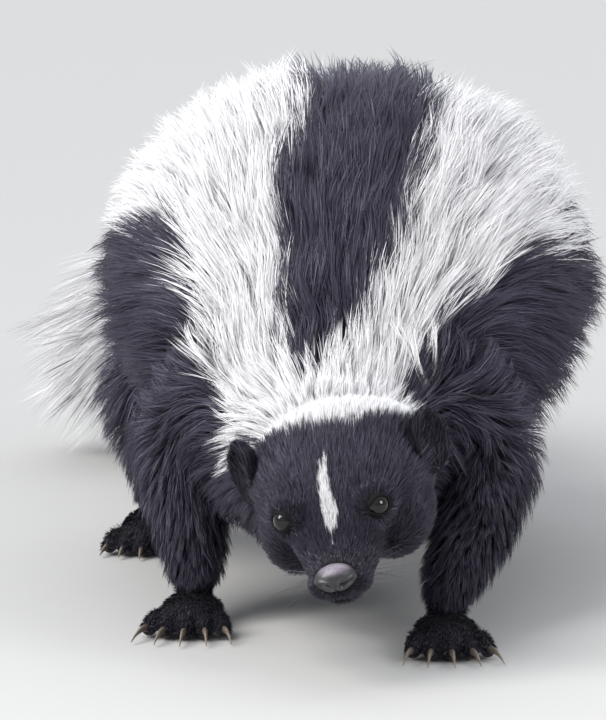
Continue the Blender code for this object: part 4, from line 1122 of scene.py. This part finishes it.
def make_claws(material):
    """A curved horny claw on each toe, thicker above than across."""
    made = []
    for leg, facts in PAWS.items():
        length = facts["claw"] * MM
        for k, (_, tip, way) in enumerate(toe_rows(leg)):
            start = tip + way * 0.5 * MM
            rows = []
            for t in np.linspace(-0.15, 1, 10):
                p = start + way * length * t
                rise = max(t, 0)
                p[2] = start[2] * (1 - rise) + CLAW_TIP * rise
                p[2] += CLAW_ARCH * length * 4 * rise * (1 - rise)
                radius = CLAW_RADIUS / MM * (1 - 0.86 * rise) * 0.98
                rows.append((*((p - SHIFT) / MM), radius * 0.78, radius, radius, 0))
            shapes = Shapes()
            rings = Sweep(rows).rings(length / 24, 16, bare, 0.1 * MM)
            shapes.tube(rings)
            claw = shapes.object(f"horn_{facts['name']}_{k + 1}")
            t = np.repeat(np.linspace(0, 1, len(rings)), 16)[:, None]
            paint_points(claw, HORN_ROOT + (HORN_TIP - HORN_ROOT) * t)
            claw.data.materials.append(material)
            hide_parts(f"claw_{facts['name']}_{k + 1}")
            made.append(claw)
    return made


def make_whiskers(material):
    """Fine stiff whiskers from the lip pads."""
    draw = np.random.default_rng(SEED + 1)
    lines, spots = [], []
    for side in (-1, 1):
        for k in range(WHISKERS):
            row, place = k % 3, k // 3
            start = np.array([9.5 + 0.5 * row, -24 + 2.6 * place, -16 - 2.4 * row]) * MM
            out = unit(np.array([0.9, 0.1 + 0.16 * place, 0.12 - 0.3 * row]) + draw.normal(0, 0.14, 3))
            length = draw.uniform(10, 22) * MM
            t = np.linspace(0, 1, 6)[:, None]
            sag = np.array([0, 0, -0.12]) * length * t**2 + np.array([0, 0.16, 0]) * length * t**2
            line = start + out * length * t + sag
            lines.append(moved(HEAD_PLACE, line * (side, 1, 1)))
            spots.append((0.9 + 0.004 * k, 0.5 + 0.02 * side))
    lines = np.array(lines)
    normals = np.tile(unit([0.0, -1.0, 0.4]), (len(lines), 1))
    widths = np.full(len(lines), 0.17 * MM)
    colours = np.tile(WHISKER, (len(lines), 1))
    whiskers = coat_piece("whiskers", lines, widths, normals, np.array(spots), colours)
    whiskers.data.materials.append(material)
    return whiskers


def make_stage():
    """A plain pale floor under soft light from above, and the camera at the photo's angle."""
    bpy.ops.mesh.primitive_plane_add(size=120)
    floor = bpy.context.object
    floor.name = "floor"
    pale = bpy.data.materials.new("pale_floor")
    pale.use_nodes = True
    pale.node_tree.nodes["Principled BSDF"].inputs["Base Color"].default_value = FLOOR
    pale.node_tree.nodes["Principled BSDF"].inputs["Roughness"].default_value = 0.9
    floor.data.materials.append(pale)
    world = bpy.data.worlds.new("soft sky")
    world.use_nodes = True
    world.node_tree.nodes["Background"].inputs["Color"].default_value = SKY
    world.node_tree.nodes["Background"].inputs["Strength"].default_value = SKY_STRENGTH
    bpy.context.scene.world = world
    bpy.context.scene.view_settings.view_transform = "Standard"
    for name, toward, energy, softness, colour in SUNS:
        light = bpy.data.lights.new(name, "SUN")
        light.energy = energy
        light.angle = math.radians(softness)
        light.color = colour
        lamp = bpy.data.objects.new(name, light)
        lamp.rotation_euler = Vector(toward).to_track_quat("Z", "Y").to_euler()
        bpy.context.scene.collection.objects.link(lamp)
    for at in BOXES_AT:
        soft_box = bpy.data.lights.new("soft box", "AREA")
        soft_box.size, soft_box.energy = BOX_SIZE, BOX_POWER
        lamp = bpy.data.objects.new("soft box", soft_box)
        lamp.location = EYES_MIDDLE + SHIFT + at
        lamp.rotation_euler = Vector(at).to_track_quat("Z", "Y").to_euler()
        lamp.visible_camera = False
        bpy.context.scene.collection.objects.link(lamp)
    elevation = math.radians(CAMERA_ELEVATION)
    out = Vector((0, -math.cos(elevation), math.sin(elevation)))
    camera_data = bpy.data.cameras.new("camera")
    camera_data.sensor_fit = "HORIZONTAL"
    camera_data.sensor_width = 36
    camera_data.lens = 36 * CAMERA_DISTANCE / FRAME_WIDTH
    camera = bpy.data.objects.new("camera", camera_data)
    camera.location = Vector(CAMERA_TARGET + SHIFT) + out * CAMERA_DISTANCE
    camera.rotation_euler = out.to_track_quat("Z", "Y").to_euler()
    bpy.context.scene.collection.objects.link(camera)
    bpy.context.scene.camera = camera


def main():
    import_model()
    black_fur = finish("black_fur_coat", 0.42, variation=0.25, scale=90, Sheen_Weight=0.1,
                       Sheen_Roughness=0.4, Sheen_Tint=(0.72, 0.7, 1, 1), Specular_IOR_Level=0.5,
                       Specular_Tint=(0.8, 0.76, 1, 1))
    white_fur = finish("white_fur_coat", 0.55, variation=0.06, scale=60, Sheen_Weight=0.2,
                       Sheen_Roughness=0.5)
    hide = finish("hide", 0.75, bump=0.5, scale=900, variation=0.3, Specular_IOR_Level=0.15)
    eye_gloss = finish("eye_gloss", 0.04, variation=0.2, scale=700, Specular_IOR_Level=0.3,
                       Coat_Weight=0.35, Coat_Roughness=0.02)
    leather = finish("nose_leather", 0.42, bump=0.6, scale=1300, variation=0.2,
                     Coat_Weight=0.3, Coat_Roughness=0.25)
    horn = finish("claw_horn", 0.38, bump=0.15, scale=500, variation=0.2)

    thing, kinds = make_skin()
    skin = Skin(thing, kinds)
    paint_skin(thing, skin)
    thing.data.materials.append(hide)
    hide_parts(*FLESH_NODES)
    pieces = [thing, make_nose(leather)]
    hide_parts("nose")
    for side, name in ((1, "left"), (-1, "right")):
        eye = make_eye(side, f"eyeball_{name}", eye_gloss)
        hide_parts(f"eye_{name}")
        pieces.append(eye)
    pieces += make_claws(horn)
    pieces += make_coat(skin, black_fur, white_fur)
    pieces.append(make_whiskers(black_fur))
    for piece in pieces:
        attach(piece, "root")
    make_stage()
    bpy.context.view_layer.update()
    for piece in pieces:
        print(piece.name, sum(len(p.vertices) - 2 for p in piece.data.polygons), "triangles")
    print("in all", sum(len(q.vertices) - 2 for p in pieces for q in p.data.polygons))


main()
